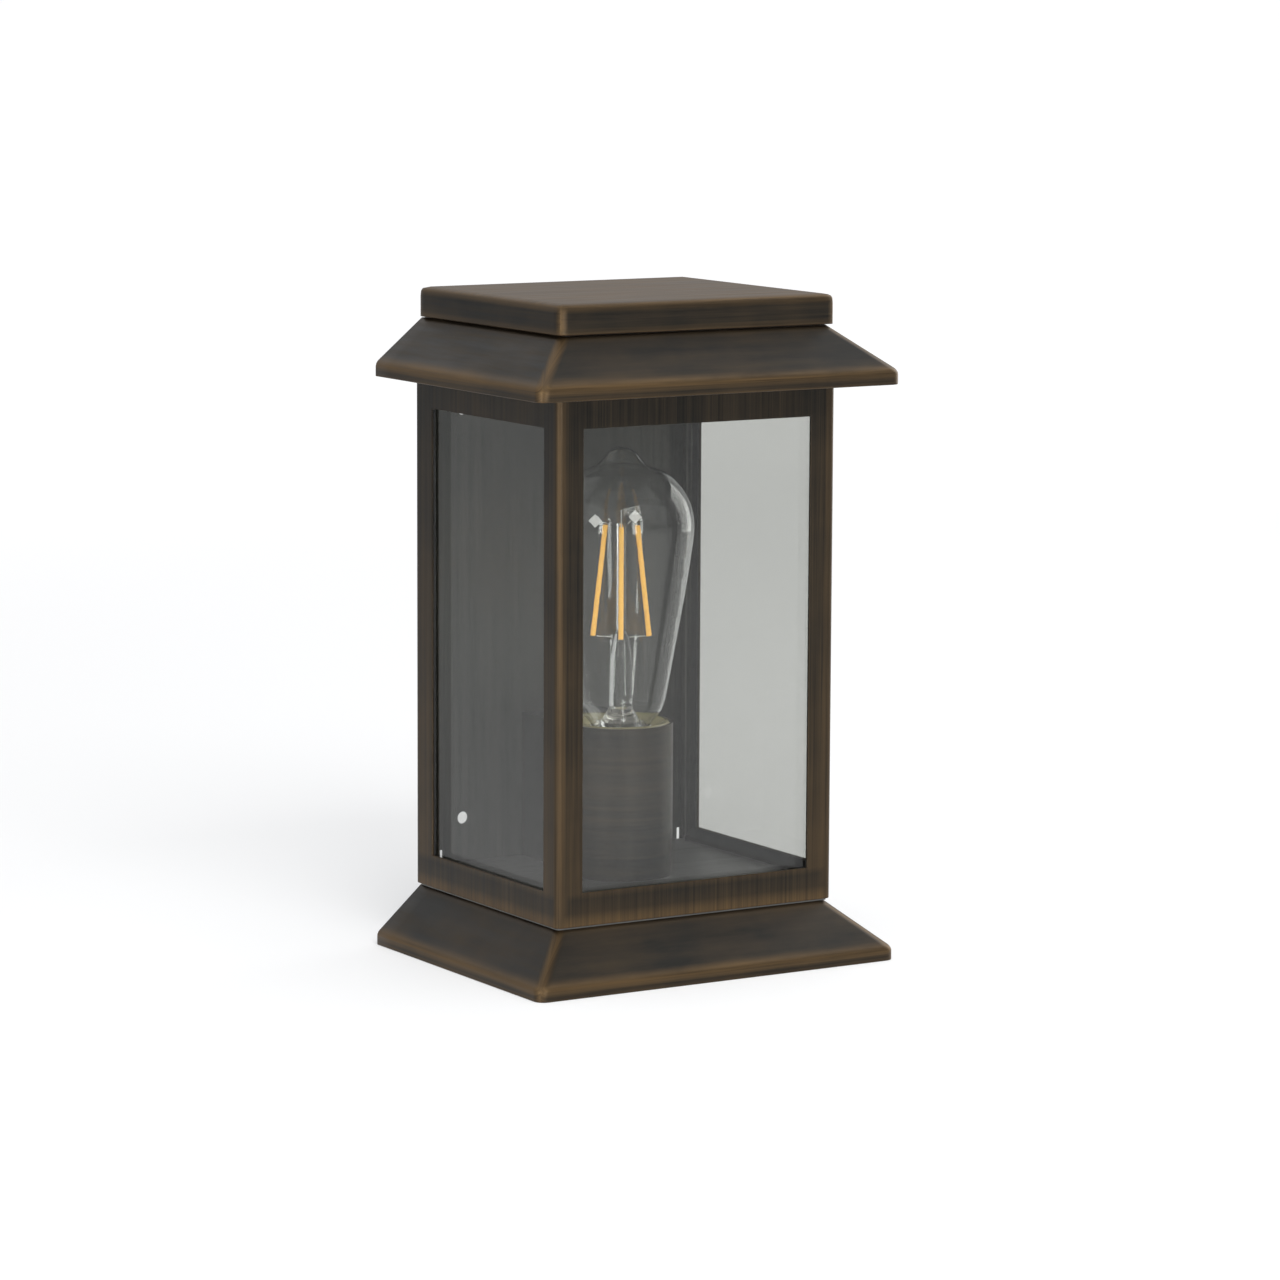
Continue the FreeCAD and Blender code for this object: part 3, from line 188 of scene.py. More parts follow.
def grain_noise(add, coordinates, stretch, detail, roughness):
    """Noise stretched into brush marks: stretch is the number of marks to a metre along each axis."""
    mapping = add("ShaderNodeMapping", {"Vector": coordinates, "Scale": stretch})
    noise = add("ShaderNodeTexNoise", {"Vector": mapping.outputs["Vector"], "Scale": 1.0, "Detail": detail,
                                       "Roughness": roughness})
    return noise.outputs["Fac"]


def ramp(add, factor, stops):
    """A colour ramp of (place, colour) stops."""
    item = add("ShaderNodeValToRGB", {"Fac": factor})
    elements = item.color_ramp.elements
    while len(elements) < len(stops):
        elements.new(0.5)
    for element, (place, colour) in zip(elements, stops):
        element.position = place
        element.color = (*colour, 1.0) if len(colour) == 3 else (colour[0], colour[0], colour[0], 1.0)
    return item.outputs["Color"]


def math_node(add, operation, first, second, clamp=False):
    """A sum of two numbers or sockets. MULTIPLY_ADD adds a third, linked afterwards."""
    item = add("ShaderNodeMath", operation=operation, use_clamp=clamp)
    for index, source in enumerate((first, second)):
        if isinstance(source, bpy.types.NodeSocket):
            item.id_data.links.new(source, item.inputs[index])
        else:
            item.inputs[index].default_value = source
    return item.outputs["Value"]


BRONZE_DARK = (0.013, 0.0125, 0.011)
BRONZE_MID = (0.0235, 0.0215, 0.0180)
BRONZE_LIGHT = (0.045, 0.037, 0.026)
COPPER_WORN = (0.145, 0.091, 0.042)
BRONZE_SHADES = (BRONZE_DARK, BRONZE_MID, BRONZE_LIGHT)
# The inside shades are the same bronze made several times lighter and greyer: painted light for the inside
# of the box.
INSIDE_PAINTED_LIGHT_SHADES = ((0.046, 0.047, 0.041), (0.074, 0.075, 0.067), (0.115, 0.114, 0.102))


def bronze(name, grain, rub=True, worn=1.0, shades=BRONZE_SHADES, relief=0.05):
    """Darkened bronze over copper. Grain is the brush marks' pitch to the metre in the piece's own grain
    map (u along the marks, v across them) or, for three numbers, in object coordinates. A rub attribute
    says how far the finish is rubbed through. Shades run dark to light; relief is the marks' depth."""
    material = bpy.data.materials.new(name)
    tree, shader, add = node_kit(material)
    if len(grain) == 2:
        place = add("ShaderNodeUVMap", uv_map="grain").outputs["UV"]
        grain = (*grain, 1.0)
    else:
        place = add("ShaderNodeTexCoord").outputs["Object"]
    broad = add("ShaderNodeTexCoord").outputs["Object"]
    fine = grain_noise(add, place, grain, 4.0, 0.65)
    coarse = grain_noise(add, place, [pitch * 0.3 for pitch in grain], 3.0, 0.6)
    cloud = grain_noise(add, broad, (28.0, 28.0, 28.0), 3.0, 0.55)
    tone = math_node(add, "MULTIPLY_ADD", fine, 0.55)
    tree.links.new(math_node(add, "MULTIPLY", coarse, 0.45), tone.node.inputs[2])
    base = ramp(add, tone, list(zip((0.30, 0.52, 0.78), shades)))
    patch = math_node(add, "MULTIPLY", math_node(add, "SUBTRACT", cloud, 0.42), 0.9 * worn)
    streak = math_node(add, "MULTIPLY", math_node(add, "SUBTRACT", tone, 0.42), 1.0 * worn)
    wear = math_node(add, "ADD", patch, streak)
    if rub:
        amount = add("ShaderNodeAttribute", attribute_name="rub", attribute_type="GEOMETRY").outputs["Fac"]
        broken = math_node(add, "MULTIPLY", amount, math_node(add, "ADD", math_node(
            add, "MULTIPLY", math_node(add, "SUBTRACT", tone, 0.5), 2.2), 0.75))
        wear = math_node(add, "ADD", math_node(add, "MULTIPLY", wear, 0.45), broken)
    wear = math_node(add, "MAXIMUM", wear, 0.0, True)
    mix = add("ShaderNodeMix", data_type="RGBA")
    tree.links.new(wear, mix.inputs["Factor"])
    tree.links.new(base, mix.inputs[6])
    mix.inputs[7].default_value = (*COPPER_WORN, 1.0)
    tree.links.new(mix.outputs[2], shader.inputs["Base Color"])
    rough = add("ShaderNodeMapRange", {"Value": fine, "From Min": 0.3, "From Max": 0.7, "To Min": 0.34,
                                       "To Max": 0.52})
    tree.links.new(rough.outputs["Result"], shader.inputs["Roughness"])
    bump = add("ShaderNodeBump", {"Height": tone, "Strength": relief, "Distance": 0.0004})
    tree.links.new(bump.outputs["Normal"], shader.inputs["Normal"])
    shader.inputs["Metallic"].default_value = 0.75
    return material


def piece(name, verts, faces, body, material, replaced, smooth=True, rub=None, grain=None):
    """A new piece in the lantern's frame. Rub is one number a vertex, and grain one map place a corner."""
    mesh = bpy.data.meshes.new(name)
    mesh.from_pydata([tuple(v) for v in verts], [], faces)
    if rub is not None:
        layer = mesh.attributes.new("rub", "FLOAT", "POINT")
        layer.data.foreach_set("value", rub)
    if grain is not None:
        layer = mesh.uv_layers.new(name="grain")
        for polygon in mesh.polygons:
            for corner, place in zip(polygon.loop_indices, grain(polygon, mesh)):
                layer.data[corner].uv = place
    for polygon in mesh.polygons:
        polygon.use_smooth = smooth
    mesh.validate()
    mesh.update()
    item = bpy.data.objects.new(name, mesh)
    bpy.context.scene.collection.objects.link(item)
    mesh.materials.append(material)
    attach(item, body)
    if replaced:
        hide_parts(*replaced)
    return item


def solidify(item, thickness):
    """Thicken a surface inwards, as sheet metal."""
    wall = item.modifiers.new("sheet", "SOLIDIFY")
    wall.thickness = thickness
    wall.offset = -1.0
    wall.use_even_offset = True


def bevel(item, width, angle):
    """Take the sharpness off every edge that turns more than an angle."""
    edge = item.modifiers.new("edges", "BEVEL")
    edge.width = width
    edge.segments = 2
    edge.limit_method = "ANGLE"
    edge.angle_limit = math.radians(angle)
    edge.harden_normals = False


def falloff(distance, width):
    """1 on an edge, falling smoothly to 0 at a width from it."""
    t = max(0.0, 1.0 - distance / width)
    return t * t * (3.0 - 2.0 * t)


SKIRT_ROUND = 4.6 * MM
SKIRT_EDGE = 0.35 * MM
SIDE_STEPS = 16
FRONT_STEPS = 24
CORNER_STEPS = 6
FASCIA_LEVELS = 3
ARRIS_STEPS = 5
RIM_LINE = 0.6 * MM
RIM_WEAR = 1.5 * MM
TOP_WEAR = 3.0 * MM
HIP_CORE = 1.4 * MM
SLOPE_MARKS = (0.05, 0.1, 0.16, 0.24, 0.34, 0.46, 0.6, 0.74, 0.86, 0.95, 1.0)


def skirt_ring(half, front):
    """One level of a skirt seen from above, from the back left round the front to the back right. The
    points crowd towards the two front corners, where the finish is worn."""
    points = []
    core = half - SKIRT_ROUND
    corner_back = front + SKIRT_ROUND
    side = [math.sin(math.pi / 2.0 * step / SIDE_STEPS) for step in range(SIDE_STEPS + 1)]
    across = [(1.0 - math.cos(math.pi * step / FRONT_STEPS)) / 2.0 for step in range(FRONT_STEPS + 1)]
    for t in side:
        points.append((-half, BACK + (corner_back - BACK) * t))
    for step in range(1, CORNER_STEPS):
        angle = math.pi + step * math.pi / 2.0 / CORNER_STEPS
        points.append((-core + SKIRT_ROUND * math.cos(angle), corner_back + SKIRT_ROUND * math.sin(angle)))
    for t in across:
        points.append((-core + 2.0 * core * t, front))
    for step in range(1, CORNER_STEPS):
        angle = 1.5 * math.pi + step * math.pi / 2.0 / CORNER_STEPS
        points.append((core + SKIRT_ROUND * math.cos(angle), corner_back + SKIRT_ROUND * math.sin(angle)))
    for t in side[::-1]:
        points.append((half, BACK + (corner_back - BACK) * t))
    return points


def skirt_levels(low, fascia, top, run, arris):
    """(height, share of the slope's run) from the rim up the fascia, round the arris and up the slope."""
    rise = top - fascia
    lean = math.atan2(rise, run)
    cut = arris * math.tan((math.pi / 2.0 - lean) / 2.0)
    levels = [(low, 0.0), (low + RIM_LINE, 0.0)]
    levels.append(((low + fascia - cut) / 2.0, 0.0))
    for step in range(ARRIS_STEPS + 1):
        swing = (math.pi / 2.0 - lean) * step / ARRIS_STEPS
        height = fascia - cut + arris * math.sin(swing)
        levels.append((height, arris * (1.0 - math.cos(swing)) / run))
    start = cut * math.sin(lean) / rise
    for t in SLOPE_MARKS:
        share = start + (1.0 - start) * t
        levels.append((fascia + rise * share, share))
    return levels


def skirt(name, body, node, levels, top_box, arris_width, hip_width, material):
    """A pressed skirt with its wear: a broad band along the arris and one down each hip."""
    low_corner, high_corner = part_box(node)
    wide, narrow = high_corner.x, top_box[0]
    wide_front, narrow_front = low_corner.y, top_box[1]
    verts, rub = [], []
    arris_height = levels[FASCIA_LEVELS + ARRIS_STEPS // 2][0]
    count = 0
    for height, share in levels:
        half = wide + (narrow - wide) * share
        front = wide_front + (narrow_front - wide_front) * share
        ring = skirt_ring(half, front)
        count = len(ring)
        for x, y in ring:
            verts.append((x, y, height))
            along = abs(height - arris_height) * 1.5
            corner = min(math.hypot(x + half, y - front), math.hypot(x - half, y - front))
            corner = max(0.0, corner - HIP_CORE)
            arris_rub = falloff(along, arris_width)
            hip_rub = 0.9 * falloff(corner, hip_width)
            rim_rub = 0.5 * falloff(height - levels[0][0], RIM_WEAR)
            top_rub = 0.25 * falloff(levels[-1][0] - height, TOP_WEAR)
            rub.append(min(1.0, max(arris_rub, hip_rub, rim_rub, top_rub) + 0.2 * min(arris_rub, hip_rub)))
    faces = []
    for row in range(len(levels) - 1):
        for step in range(count):
            following = (step + 1) % count
            a, b = row * count + step, row * count + following
            faces.append((a, b, b + count, a + count))
    faces.append(tuple(range((len(levels) - 1) * count, len(levels) * count)))

    def grain(polygon, mesh):
        """Grain along each side of the skirt, mitred at the hips."""
        sideways = abs(polygon.normal.x) > abs(polygon.normal.y)
        for index in polygon.vertices:
            x, y, z = mesh.vertices[index].co
            yield (y + 0.5, z + abs(x)) if sideways else (x, z - y + 0.3)

    item = piece(name, verts, faces, body, material, [node], True, rub, grain)
    solidify(item, SHEET)
    bevel(item, SKIRT_EDGE, 50.0)
    return item


bronze_skirt = bronze("bronze_brushed_along", (16.0, 1400.0))
BASE_FASCIA = 5.5 * MM
BASE_ARRIS = 3.6 * MM
SEAM_INSET = 1.6 * MM
body_low, body_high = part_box("body_frame")
base_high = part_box("base_skirt")[1]
base_run = base_high.x - body_high.x + SEAM_INSET
base_levels = skirt_levels(0.0, BASE_FASCIA, base_high.z, base_run, BASE_ARRIS)
skirt("base_skirt_pan", "housing", "base_skirt", base_levels,
      (body_high.x - SEAM_INSET, body_low.y + SEAM_INSET), arris_width=6.0 * MM, hip_width=2.8 * MM,
      material=bronze_skirt)

# ---------------------------------------------------------------------------------------------------
# Floor tray and its fixings: a folded tray spot-welded inside the foot of the box, bronze-sprayed but
# never rubbed, screwed down to the base through its inward flange with zinc-plated pan-head screws.


def sprayed(name, colour, rough, metallic=0.0, speckle=0.25, scale=900.0):
    """Sprayed or moulded finish: one colour with a slow cloud, a fine speckle and a slight orange peel."""
    material = bpy.data.materials.new(name)
    tree, shader, add = node_kit(material)
    place = add("ShaderNodeTexCoord").outputs["Object"]
    cloud = grain_noise(add, place, (35.0, 35.0, 35.0), 3.0, 0.5)
    peel = grain_noise(add, place, (scale, scale, scale), 2.0, 0.5)
    tone = math_node(add, "MULTIPLY_ADD", cloud, 0.6)
    tree.links.new(math_node(add, "MULTIPLY", peel, 0.4), tone.node.inputs[2])
    dark = [channel * (1.0 - speckle) for channel in colour]
    light = [min(1.0, channel * (1.0 + speckle)) for channel in colour]
    tree.links.new(ramp(add, tone, [(0.3, dark), (0.7, light)]), shader.inputs["Base Color"])
    rough_map = add("ShaderNodeMapRange", {"Value": tone, "From Min": 0.3, "From Max": 0.7,
                                           "To Min": rough - 0.05, "To Max": rough + 0.07})
    tree.links.new(rough_map.outputs["Result"], shader.inputs["Roughness"])
    bump = add("ShaderNodeBump", {"Height": peel, "Strength": 0.05, "Distance": 0.0001})
    tree.links.new(bump.outputs["Normal"], shader.inputs["Normal"])
    shader.inputs["Metallic"].default_value = metallic
    return material


def dress(node, material):
    """Give a CAD piece its finish."""
    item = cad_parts[node]
    item.data.materials.clear()
    item.data.materials.append(material)


# Back plate, runners, wiring cover and roof liner share this lighter, greyer bronze; its lightness is
# painted light, not a finish of their own.
bronze_inside_painted_light = bronze("bronze_inside_painted_light", (900.0, 900.0, 18.0), rub=False, worn=0.15,
                       shades=INSIDE_PAINTED_LIGHT_SHADES, relief=0.006)
zinc = sprayed("zinc_plate", (0.55, 0.56, 0.58), 0.36, 1.0, 0.18)
# The tray's shades are the bronze made about twice as light again: painted sheen for the grazing light the
# tray catches.
TRAY_PAINTED_SHEEN_SHADES = ((0.110, 0.110, 0.104), (0.165, 0.165, 0.158), (0.235, 0.235, 0.225))
dress("floor_tray", bronze("bronze_tray_painted_sheen", (18.0, 700.0, 700.0), rub=False, worn=0.1, shades=TRAY_PAINTED_SHEEN_SHADES,
                           relief=0.006))
dress("base_screws", zinc)
dress("base_nuts", zinc)

# ---------------------------------------------------------------------------------------------------
# Glazed box: left, front and right walls folded from one sheet, each with a window punched in it. The
# metal is brushed upright, and rubbed to copper on the front folds and the bottom rail.

bronze_upright = bronze("bronze_brushed_upright", (1500.0, 1500.0, 14.0))
WINDOW_LOW = 40.5 * MM
WINDOW_HIGH = 238.0 * MM
FRONT_STILE = 12.6 * MM
SIDE_STILE_FRONT = 11.8 * MM
SIDE_STILE_BACK = 13.4 * MM
FOLD = 2.5 * MM
FOLD_STEPS = 6
EDGE_LINE = 1.2 * MM
FOLD_WEAR = 7.0 * MM
FOOT_WEAR = 8.0 * MM
SILL_WEAR = 2.5 * MM


def wall_columns():
    """Points round the three walls from the back left, and the openings between them. Lines close to a
    fold or a window's edge carry the wear."""
    half, front = body_high.x, body_low.y
    side_marks = [BACK, BACK - 1.5 * MM, BACK - 6 * MM, BACK - SIDE_STILE_BACK + EDGE_LINE,
                  BACK - SIDE_STILE_BACK, "window", front + SIDE_STILE_FRONT,
                  front + SIDE_STILE_FRONT - EDGE_LINE, front + 8 * MM, front + 5.5 * MM, front + 4 * MM]
    columns, openings = [], []
    for mark in side_marks:
        if mark == "window":
            openings.append(len(columns) - 1)
        else:
            columns.append((-half, mark))
    for step in range(FOLD_STEPS + 1):
        angle = math.pi + step * math.pi / 2.0 / FOLD_STEPS
        columns.append((-half + FOLD + FOLD * math.cos(angle), front + FOLD + FOLD * math.sin(angle)))
    for mark in (4 * MM, 5.5 * MM, 7.5 * MM, 9.5 * MM, FRONT_STILE - EDGE_LINE, FRONT_STILE):
        columns.append((-half + mark, front))
    openings.append(len(columns) - 1)
    mirror = [(-x, y) for x, y in columns[::-1]]
    size = len(columns)
    openings.append(size + (size - 1) - (openings[0] + 1))
    return columns + mirror, openings


def wall_rows():
    """Heights up the walls, and which gap between them holds the windows."""
    low, high = body_low.z, body_high.z
    marks = [low, low + 0.8 * MM, low + 2.5 * MM, low + 6 * MM, WINDOW_LOW - 3 * MM, WINDOW_LOW - 1 * MM,
             WINDOW_LOW]
    opening = len(marks) - 1
    marks += [WINDOW_HIGH, WINDOW_HIGH + 1 * MM, WINDOW_HIGH + 5 * MM, high - 2 * MM, high]
    return marks, opening


columns, openings = wall_columns()
rows, opening_row = wall_rows()
wall_verts, wall_rub = [], []
for height in rows:
    for x, y in columns:
        wall_verts.append((x, y, height))
        front_face = y < body_low.y + 0.3 * MM
        to_fold = abs(abs(x) - body_high.x) + max(0.0, y - body_low.y) * (1.0 if front_face else 2.0)
        side = 0.75 if x < 0 else 0.5
        fold_rub = side * falloff(to_fold, FOLD_WEAR)
        foot_rub = 0.85 * falloff(height - body_low.z, FOOT_WEAR)
        sill_rub = 0.3 * falloff(abs(height - WINDOW_LOW), SILL_WEAR)
        wall_rub.append(min(1.0, max(fold_rub, foot_rub, sill_rub)))
wall_faces = []
width = len(columns)
for row in range(len(rows) - 1):
    for step in range(width - 1):
        if row == opening_row and step in openings:
            continue
        a = row * width + step
        wall_faces.append((a, a + 1, a + 1 + width, a + width))
body_walls = piece("body_walls", wall_verts, wall_faces, "housing", bronze_upright,
                   ["body_frame"], True, wall_rub)
solidify(body_walls, SHEET)
bevel(body_walls, 0.3 * MM, 50.0)

# ---------------------------------------------------------------------------------------------------
# Back plate: the flat sheet that closes the box and goes against the wall, with fixing holes, a cable
# hole with its rubber grommet, and a relief notch beside each folded flange.

rubber = sprayed("black_rubber", (0.02, 0.02, 0.021), 0.62, 0.0, 0.3, 1500.0)
dress("back_plate", bronze_inside_painted_light)
dress("cable_grommet", rubber)

# ---------------------------------------------------------------------------------------------------
# Glazing: three clear float-glass panes with ground edges, each in a pair of folded runners, bedded on
# a black rubber seal behind its window.


def pane_glass(name, tint, rough):
    """Clear pane: light goes straight through and the surfaces mirror by angle."""
    material = bpy.data.materials.new(name)
    tree, shader, add = node_kit(material)
    tree.nodes.remove(shader)
    output = tree.nodes["Material Output"]
    place = add("ShaderNodeTexCoord").outputs["Object"]
    smear = grain_noise(add, place, (14.0, 14.0, 6.0), 3.0, 0.5)
    clear = add("ShaderNodeBsdfTransparent", {"Color": (*tint, 1.0)})
    haze = add("ShaderNodeMapRange", {"Value": smear, "From Min": 0.3, "From Max": 0.7, "To Min": rough,
                                      "To Max": rough * 3.0})
    mirror = add("ShaderNodeBsdfGlossy", {"Color": (1.0, 1.0, 1.0, 1.0),
                                          "Roughness": haze.outputs["Result"]})
    facing = add("ShaderNodeLayerWeight", {"Blend": 0.5}).outputs["Facing"]
    steep = math_node(add, "POWER", facing, 5.0)
    share = math_node(add, "ADD", math_node(add, "MULTIPLY", steep, 0.96), 0.04, True)
    blend = add("ShaderNodeMixShader", {0: share, 1: clear.outputs["BSDF"], 2: mirror.outputs["BSDF"]})
    tree.links.new(blend.outputs["Shader"], output.inputs["Surface"])
    return material


pane_material = pane_glass("clear_pane", (0.842, 0.846, 0.834), 0.015)


def slab(name, node, body, material, edge):
    """A flat plate in the place of a CAD plate, with its arrises ground off."""
    low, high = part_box(node)
    corners = [(x, y, z) for z in (low.z, high.z) for y in (low.y, high.y) for x in (low.x, high.x)]
    faces = [(0, 2, 3, 1), (4, 5, 7, 6), (0, 1, 5, 4), (2, 6, 7, 3), (0, 4, 6, 2), (1, 3, 7, 5)]
    item = piece(name, corners, faces, body, material, [node], False)
    bevel(item, edge, 30.0)
    return item


for side in ("front", "left", "right"):
    slab(f"pane_{side}", f"glass_{side}", "housing", pane_material, 0.4 * MM)
    dress(f"glazing_seal_{side}", rubber)
    dress(f"glass_runners_{side}", bronze_inside_painted_light)

# ---------------------------------------------------------------------------------------------------
# Lampholder: a spun bronze tube on the tray, round a cream porcelain screw holder on a threaded nipple.
# The tube hides the holder's black foot and brass terminals, and the porcelain its brass screw shell.

LAMP_AXIS = (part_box("lampholder_tube")[0].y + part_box("lampholder_tube")[1].y) / 2.0
TUBE_SHADES = ((0.026, 0.026, 0.024), (0.050, 0.046, 0.039), (0.100, 0.080, 0.057))
bronze_tube = bronze("bronze_spun", (9.0, 9.0, 600.0), rub=False, worn=0.5, shades=TUBE_SHADES, relief=0.01)
# The holder's porcelain is cream; its colour here is darkened to olive, painted shade for the hollow inside
# the tube.
porcelain = sprayed("porcelain_darkened_painted_shade", (0.25, 0.225, 0.125), 0.20, 0.0, 0.15)
phenolic = sprayed("black_phenolic", (0.03, 0.027, 0.024), 0.4, 0.0, 0.2)
brass = sprayed("plain_brass", (0.72, 0.50, 0.20), 0.3, 1.0, 0.12)
dress("lampholder_tube", bronze_tube)
dress("holder_body", porcelain)
dress("holder_base", phenolic)
for node in ("holder_terminals", "screw_shell", "centre_contact"):
    dress(node, brass)
for node in ("nipple", "nipple_nut", "nipple_locknut"):
    dress(node, zinc)

# ---------------------------------------------------------------------------------------------------
# Wiring: a folded cover between the tube and the back plate hides the terminal block, the earth stud
# and the three insulated wires, which pass to the holder through a rubber bush.

nylon = sprayed("white_nylon", (0.78, 0.78, 0.74), 0.42, 0.0, 0.05)
dress("wiring_cover", bronze_inside_painted_light)
dress("cover_screws", zinc)
dress("wire_bush", rubber)
dress("terminal_block", nylon)
for node in ("terminal_screws", "earth_stud", "earth_nut", "earth_lug"):
    dress(node, brass)
for node, colour in (("wire_live", (0.20, 0.07, 0.02)), ("wire_neutral", (0.02, 0.08, 0.33)),
                     ("wire_earth", (0.08, 0.32, 0.03))):
    dress(node, sprayed(f"insulation_{node}", colour, 0.34, 0.0, 0.1))

# ---------------------------------------------------------------------------------------------------
# Lamp: a blown clear bulb cemented into a nickel-plated screw cap, with four phosphor-coated filaments
# held round a pressed glass stem by bright wires and tabs.


def blown_glass(name, ior, rough=0.0):
    """Clear thin-walled glass that bends the view and lets the lamps through."""
    material = bpy.data.materials.new(name)
    tree, shader, add = node_kit(material)
    output = tree.nodes["Material Output"]
    shader.inputs["Base Color"].default_value = (0.985, 0.99, 0.99, 1.0)
    shader.inputs["Roughness"].default_value = rough
    shader.inputs["IOR"].default_value = ior
    shader.inputs["Transmission Weight"].default_value = 1.0
    place = add("ShaderNodeTexCoord").outputs["Object"]
    wave = grain_noise(add, place, (45.0, 45.0, 20.0), 1.0, 0.4)
    bump = add("ShaderNodeBump", {"Height": wave, "Strength": 0.03, "Distance": 0.001})
    tree.links.new(bump.outputs["Normal"], shader.inputs["Normal"])
    clear = add("ShaderNodeBsdfTransparent", {"Color": (0.96, 0.97, 0.97, 1.0)})
    light_path = add("ShaderNodeLightPath")
    blend = add("ShaderNodeMixShader", {0: light_path.outputs["Is Shadow Ray"], 1: shader.outputs["BSDF"],
                                        2: clear.outputs["BSDF"]})
    tree.links.new(blend.outputs["Shader"], output.inputs["Surface"])
    return material


bulb_glass = blown_glass("blown_bulb_glass", 1.45)
stem_glass = blown_glass("pressed_stem_glass", 1.5)
nickel = sprayed("nickel_plate", (0.62, 0.60, 0.55), 0.25, 1.0, 0.1)
# The phosphor's yellow is the filaments' own colour; the faint emission set on them below is painted glow,
# as the lamp is not lit.
phosphor = sprayed("phosphor_coating_with_painted_glow", (1.0, 0.52, 0.08), 0.6, 0.0, 0.08)
phosphor_painted_glow_shader = phosphor.node_tree.nodes["Principled BSDF"]
phosphor_painted_glow_shader.inputs["Emission Color"].default_value = (1.0, 0.55, 0.12, 1.0)
phosphor_painted_glow_shader.inputs["Emission Strength"].default_value = 0.22
# The tabs are nickel; their near-white colour, well above the metal's own, is painted glint.
tab_metal = sprayed("tab_white_painted_glint", (0.92, 0.92, 0.90), 0.3, 0.5, 0.05)
bright_wire = sprayed("bright_wire", (0.82, 0.82, 0.80), 0.25, 1.0, 0.1)
dress("lamp_glass", bulb_glass)
dress("lamp_stem", stem_glass)
THREAD_PITCH = 3.62 * MM
THREAD_DEPTH = 0.85 * MM
THREAD_START = 2.4 * MM
THREAD_STOP = 4.0 * MM
THREAD_FADE = 1.4 * MM
THREAD_SHEET = 0.35 * MM
FOOT_TUCKS = (0.5 * MM, 0.15 * MM)
SCREW_STEPS = 72
SCREW_ROWS = 43
screw_low, screw_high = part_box("lamp_screw_cap")
screw_rings = [screw_low.z, screw_low.z + 0.25 * MM, screw_low.z + 0.8 * MM]
screw_rings += [screw_low.z + (1.2 + 0.45 * step) * MM for step in range(SCREW_ROWS)]
screw_rings.append(screw_high.z)
screw_verts, screw_faces = [], []
for row, height in enumerate(screw_rings):
    for step in range(SCREW_STEPS):
        angle = math.tau * step / SCREW_STEPS
        plain = max(0.0, screw_low.z + THREAD_START - height, height - screw_high.z + THREAD_STOP)
        threaded = falloff(plain, THREAD_FADE)
        turn = (height - screw_low.z) / THREAD_PITCH - step / SCREW_STEPS
        depth = THREAD_DEPTH * threaded * (0.5 + 0.5 * math.cos(math.tau * turn))
        depth += FOOT_TUCKS[row] if row < len(FOOT_TUCKS) else 0.0
        reach = screw_high.x - depth
        screw_verts.append((reach * math.cos(angle), LAMP_AXIS + reach * math.sin(angle), height))
for row in range(len(screw_rings) - 1):
    for step in range(SCREW_STEPS):
        following = (step + 1) % SCREW_STEPS
        low_row, high_row = row * SCREW_STEPS, (row + 1) * SCREW_STEPS
        screw_faces.append((low_row + step, low_row + following, high_row + following, high_row + step))
lamp_thread = piece("lamp_thread", screw_verts, screw_faces, "lamp", nickel, ["lamp_screw_cap"])
solidify(lamp_thread, THREAD_SHEET)
dress("lamp_insulator", phenolic)
dress("lamp_tip_contact", zinc)
dress("lamp_driver", nylon)
dress("lamp_filaments", phosphor)
dress("filament_tabs", tab_metal)
dress("filament_leads", bright_wire)

# ---------------------------------------------------------------------------------------------------
# Roof: a second pressed skirt with a flat folded cap on it, a thin black gasket between them, and a
# liner tray below whose sprung collar drops inside the walls.

roof_low, roof_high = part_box("roof_skirt")
cap_low, cap_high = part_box("roof_cap")
ROOF_FASCIA = 6.0 * MM
ROOF_ARRIS = 4.0 * MM
ROOF_INSET = 1.7 * MM
roof_run = roof_high.x - cap_high.x + ROOF_INSET
roof_levels = skirt_levels(roof_low.z, roof_low.z + ROOF_FASCIA, roof_high.z, roof_run, ROOF_ARRIS)
skirt("roof_skirt_pan", "roof", "roof_skirt", roof_levels,
      (cap_high.x - ROOF_INSET, cap_low.y + ROOF_INSET), arris_width=6.5 * MM, hip_width=3.6 * MM,
      material=bronze_skirt)


def cap_marks(low, high):
    """Grid lines across the cap: close to the arrises, where the finish is worn, and open between."""
    near = [0.0, 1.2 * MM, 4.0 * MM, 6.0 * MM, 10.0 * MM, 20.0 * MM]
    return [low + mark for mark in near] + [high - mark for mark in near[::-1]]


CAP_ROUND = 3.0 * MM
CAP_ARRIS_WEAR = 4.0 * MM
CAP_RIM_WEAR = 1.6 * MM
CAP_TOP_WEAR = 1.4 * MM
CAP_RIM_LINES = (0.0, 0.6 * MM, 3.0 * MM, 6.5 * MM)
CAP_TOP_LINES = (4.0 * MM, 1.5 * MM, 0.0)
xs = cap_marks(cap_low.x, cap_high.x)
ys = cap_marks(cap_low.y, cap_high.y)
zs = [cap_low.z + line for line in CAP_RIM_LINES] + [cap_high.z - line for line in CAP_TOP_LINES]


def rounded(point):
    """Pull a point of the cap's box in to its rounded top and front edges."""
    x, y, z = point
    core = Vector((min(max(x, cap_low.x + CAP_ROUND), cap_high.x - CAP_ROUND),
                   min(max(y, cap_low.y + CAP_ROUND), cap_high.y - CAP_ROUND),
                   min(z, cap_high.z - CAP_ROUND)))
    out = Vector(point) - core
    if out.length < 1e-9:
        return Vector(point)
    return core + out.normalized() * CAP_ROUND


cap_index, cap_verts, cap_rub = {}, [], []


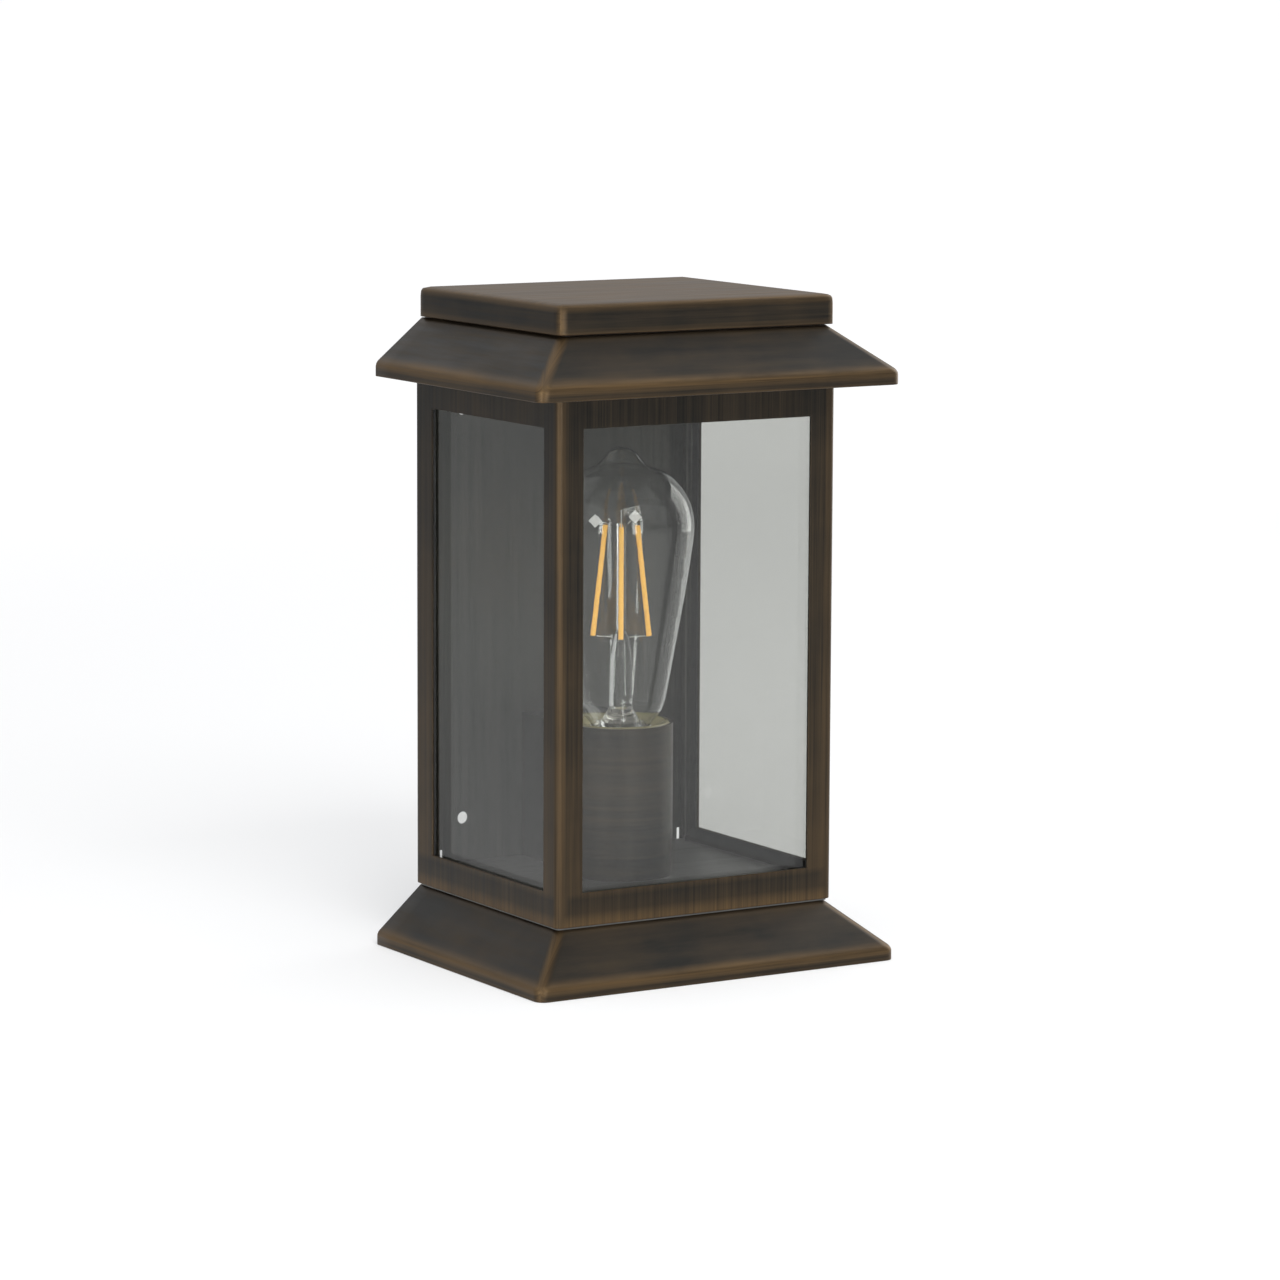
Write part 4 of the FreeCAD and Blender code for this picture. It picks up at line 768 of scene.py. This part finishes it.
def cap_vertex(x, y, z):
    """The number of the cap's vertex at a point of its box, with its wear, made when first asked for."""
    key = (round(x, 6), round(y, 6), round(z, 6))
    if key not in cap_index:
        cap_index[key] = len(cap_verts)
        cap_verts.append(rounded((x, y, z)))
        gaps = sorted((x - cap_low.x, cap_high.x - x))[:1] + sorted((y - cap_low.y, cap_high.y - y))[:1]
        gaps.append(cap_high.z - z)
        gaps.sort()
        edge = 0.85 * falloff(math.hypot(gaps[0], gaps[1]), CAP_ARRIS_WEAR)
        rim = 0.6 * falloff(z - cap_low.z, CAP_RIM_WEAR)
        top_rub = 0.85 * falloff(cap_high.z - z, CAP_TOP_WEAR)
        cap_rub.append(max(edge, rim, top_rub))
    return cap_index[key]


cap_faces = []


def cap_face(*corners):
    """One face of the cap, from its four corners."""
    cap_faces.append([cap_vertex(*corner) for corner in corners])


left, right = cap_low.x, cap_high.x
front, rear, top = cap_low.y, cap_high.y, cap_high.z
for x0, x1 in zip(xs, xs[1:]):
    for y0, y1 in zip(ys, ys[1:]):
        cap_face((x0, y0, top), (x1, y0, top), (x1, y1, top), (x0, y1, top))
    for z0, z1 in zip(zs, zs[1:]):
        cap_face((x0, front, z0), (x1, front, z0), (x1, front, z1), (x0, front, z1))
        cap_face((x1, rear, z0), (x0, rear, z0), (x0, rear, z1), (x1, rear, z1))
for y0, y1 in zip(ys, ys[1:]):
    for z0, z1 in zip(zs, zs[1:]):
        cap_face((left, y1, z0), (left, y0, z0), (left, y0, z1), (left, y1, z1))
        cap_face((right, y0, z0), (right, y1, z0), (right, y1, z1), (right, y0, z1))


def cap_grain(polygon, mesh):
    """Grain along the cap's width on top and front, and along its depth at the sides."""
    normal = polygon.normal
    for index in polygon.vertices:
        x, y, z = mesh.vertices[index].co
        if abs(normal.z) > 0.7:
            yield (x, y + 0.7)
        elif abs(normal.y) > abs(normal.x):
            yield (x, z)
        else:
            yield (y, z + 0.4)


bronze_cap = bronze("bronze_brushed_cap", (14.0, 650.0))
cap = piece("roof_cap_pan", cap_verts, cap_faces, "roof", bronze_cap, ["roof_cap"], True,
            cap_rub, cap_grain)
solidify(cap, SHEET)
dress("roof_gasket", rubber)
dress("roof_liner", bronze_inside_painted_light)
dress("roof_springs", zinc)
dress("cap_studs", zinc)
dress("cap_nuts", zinc)
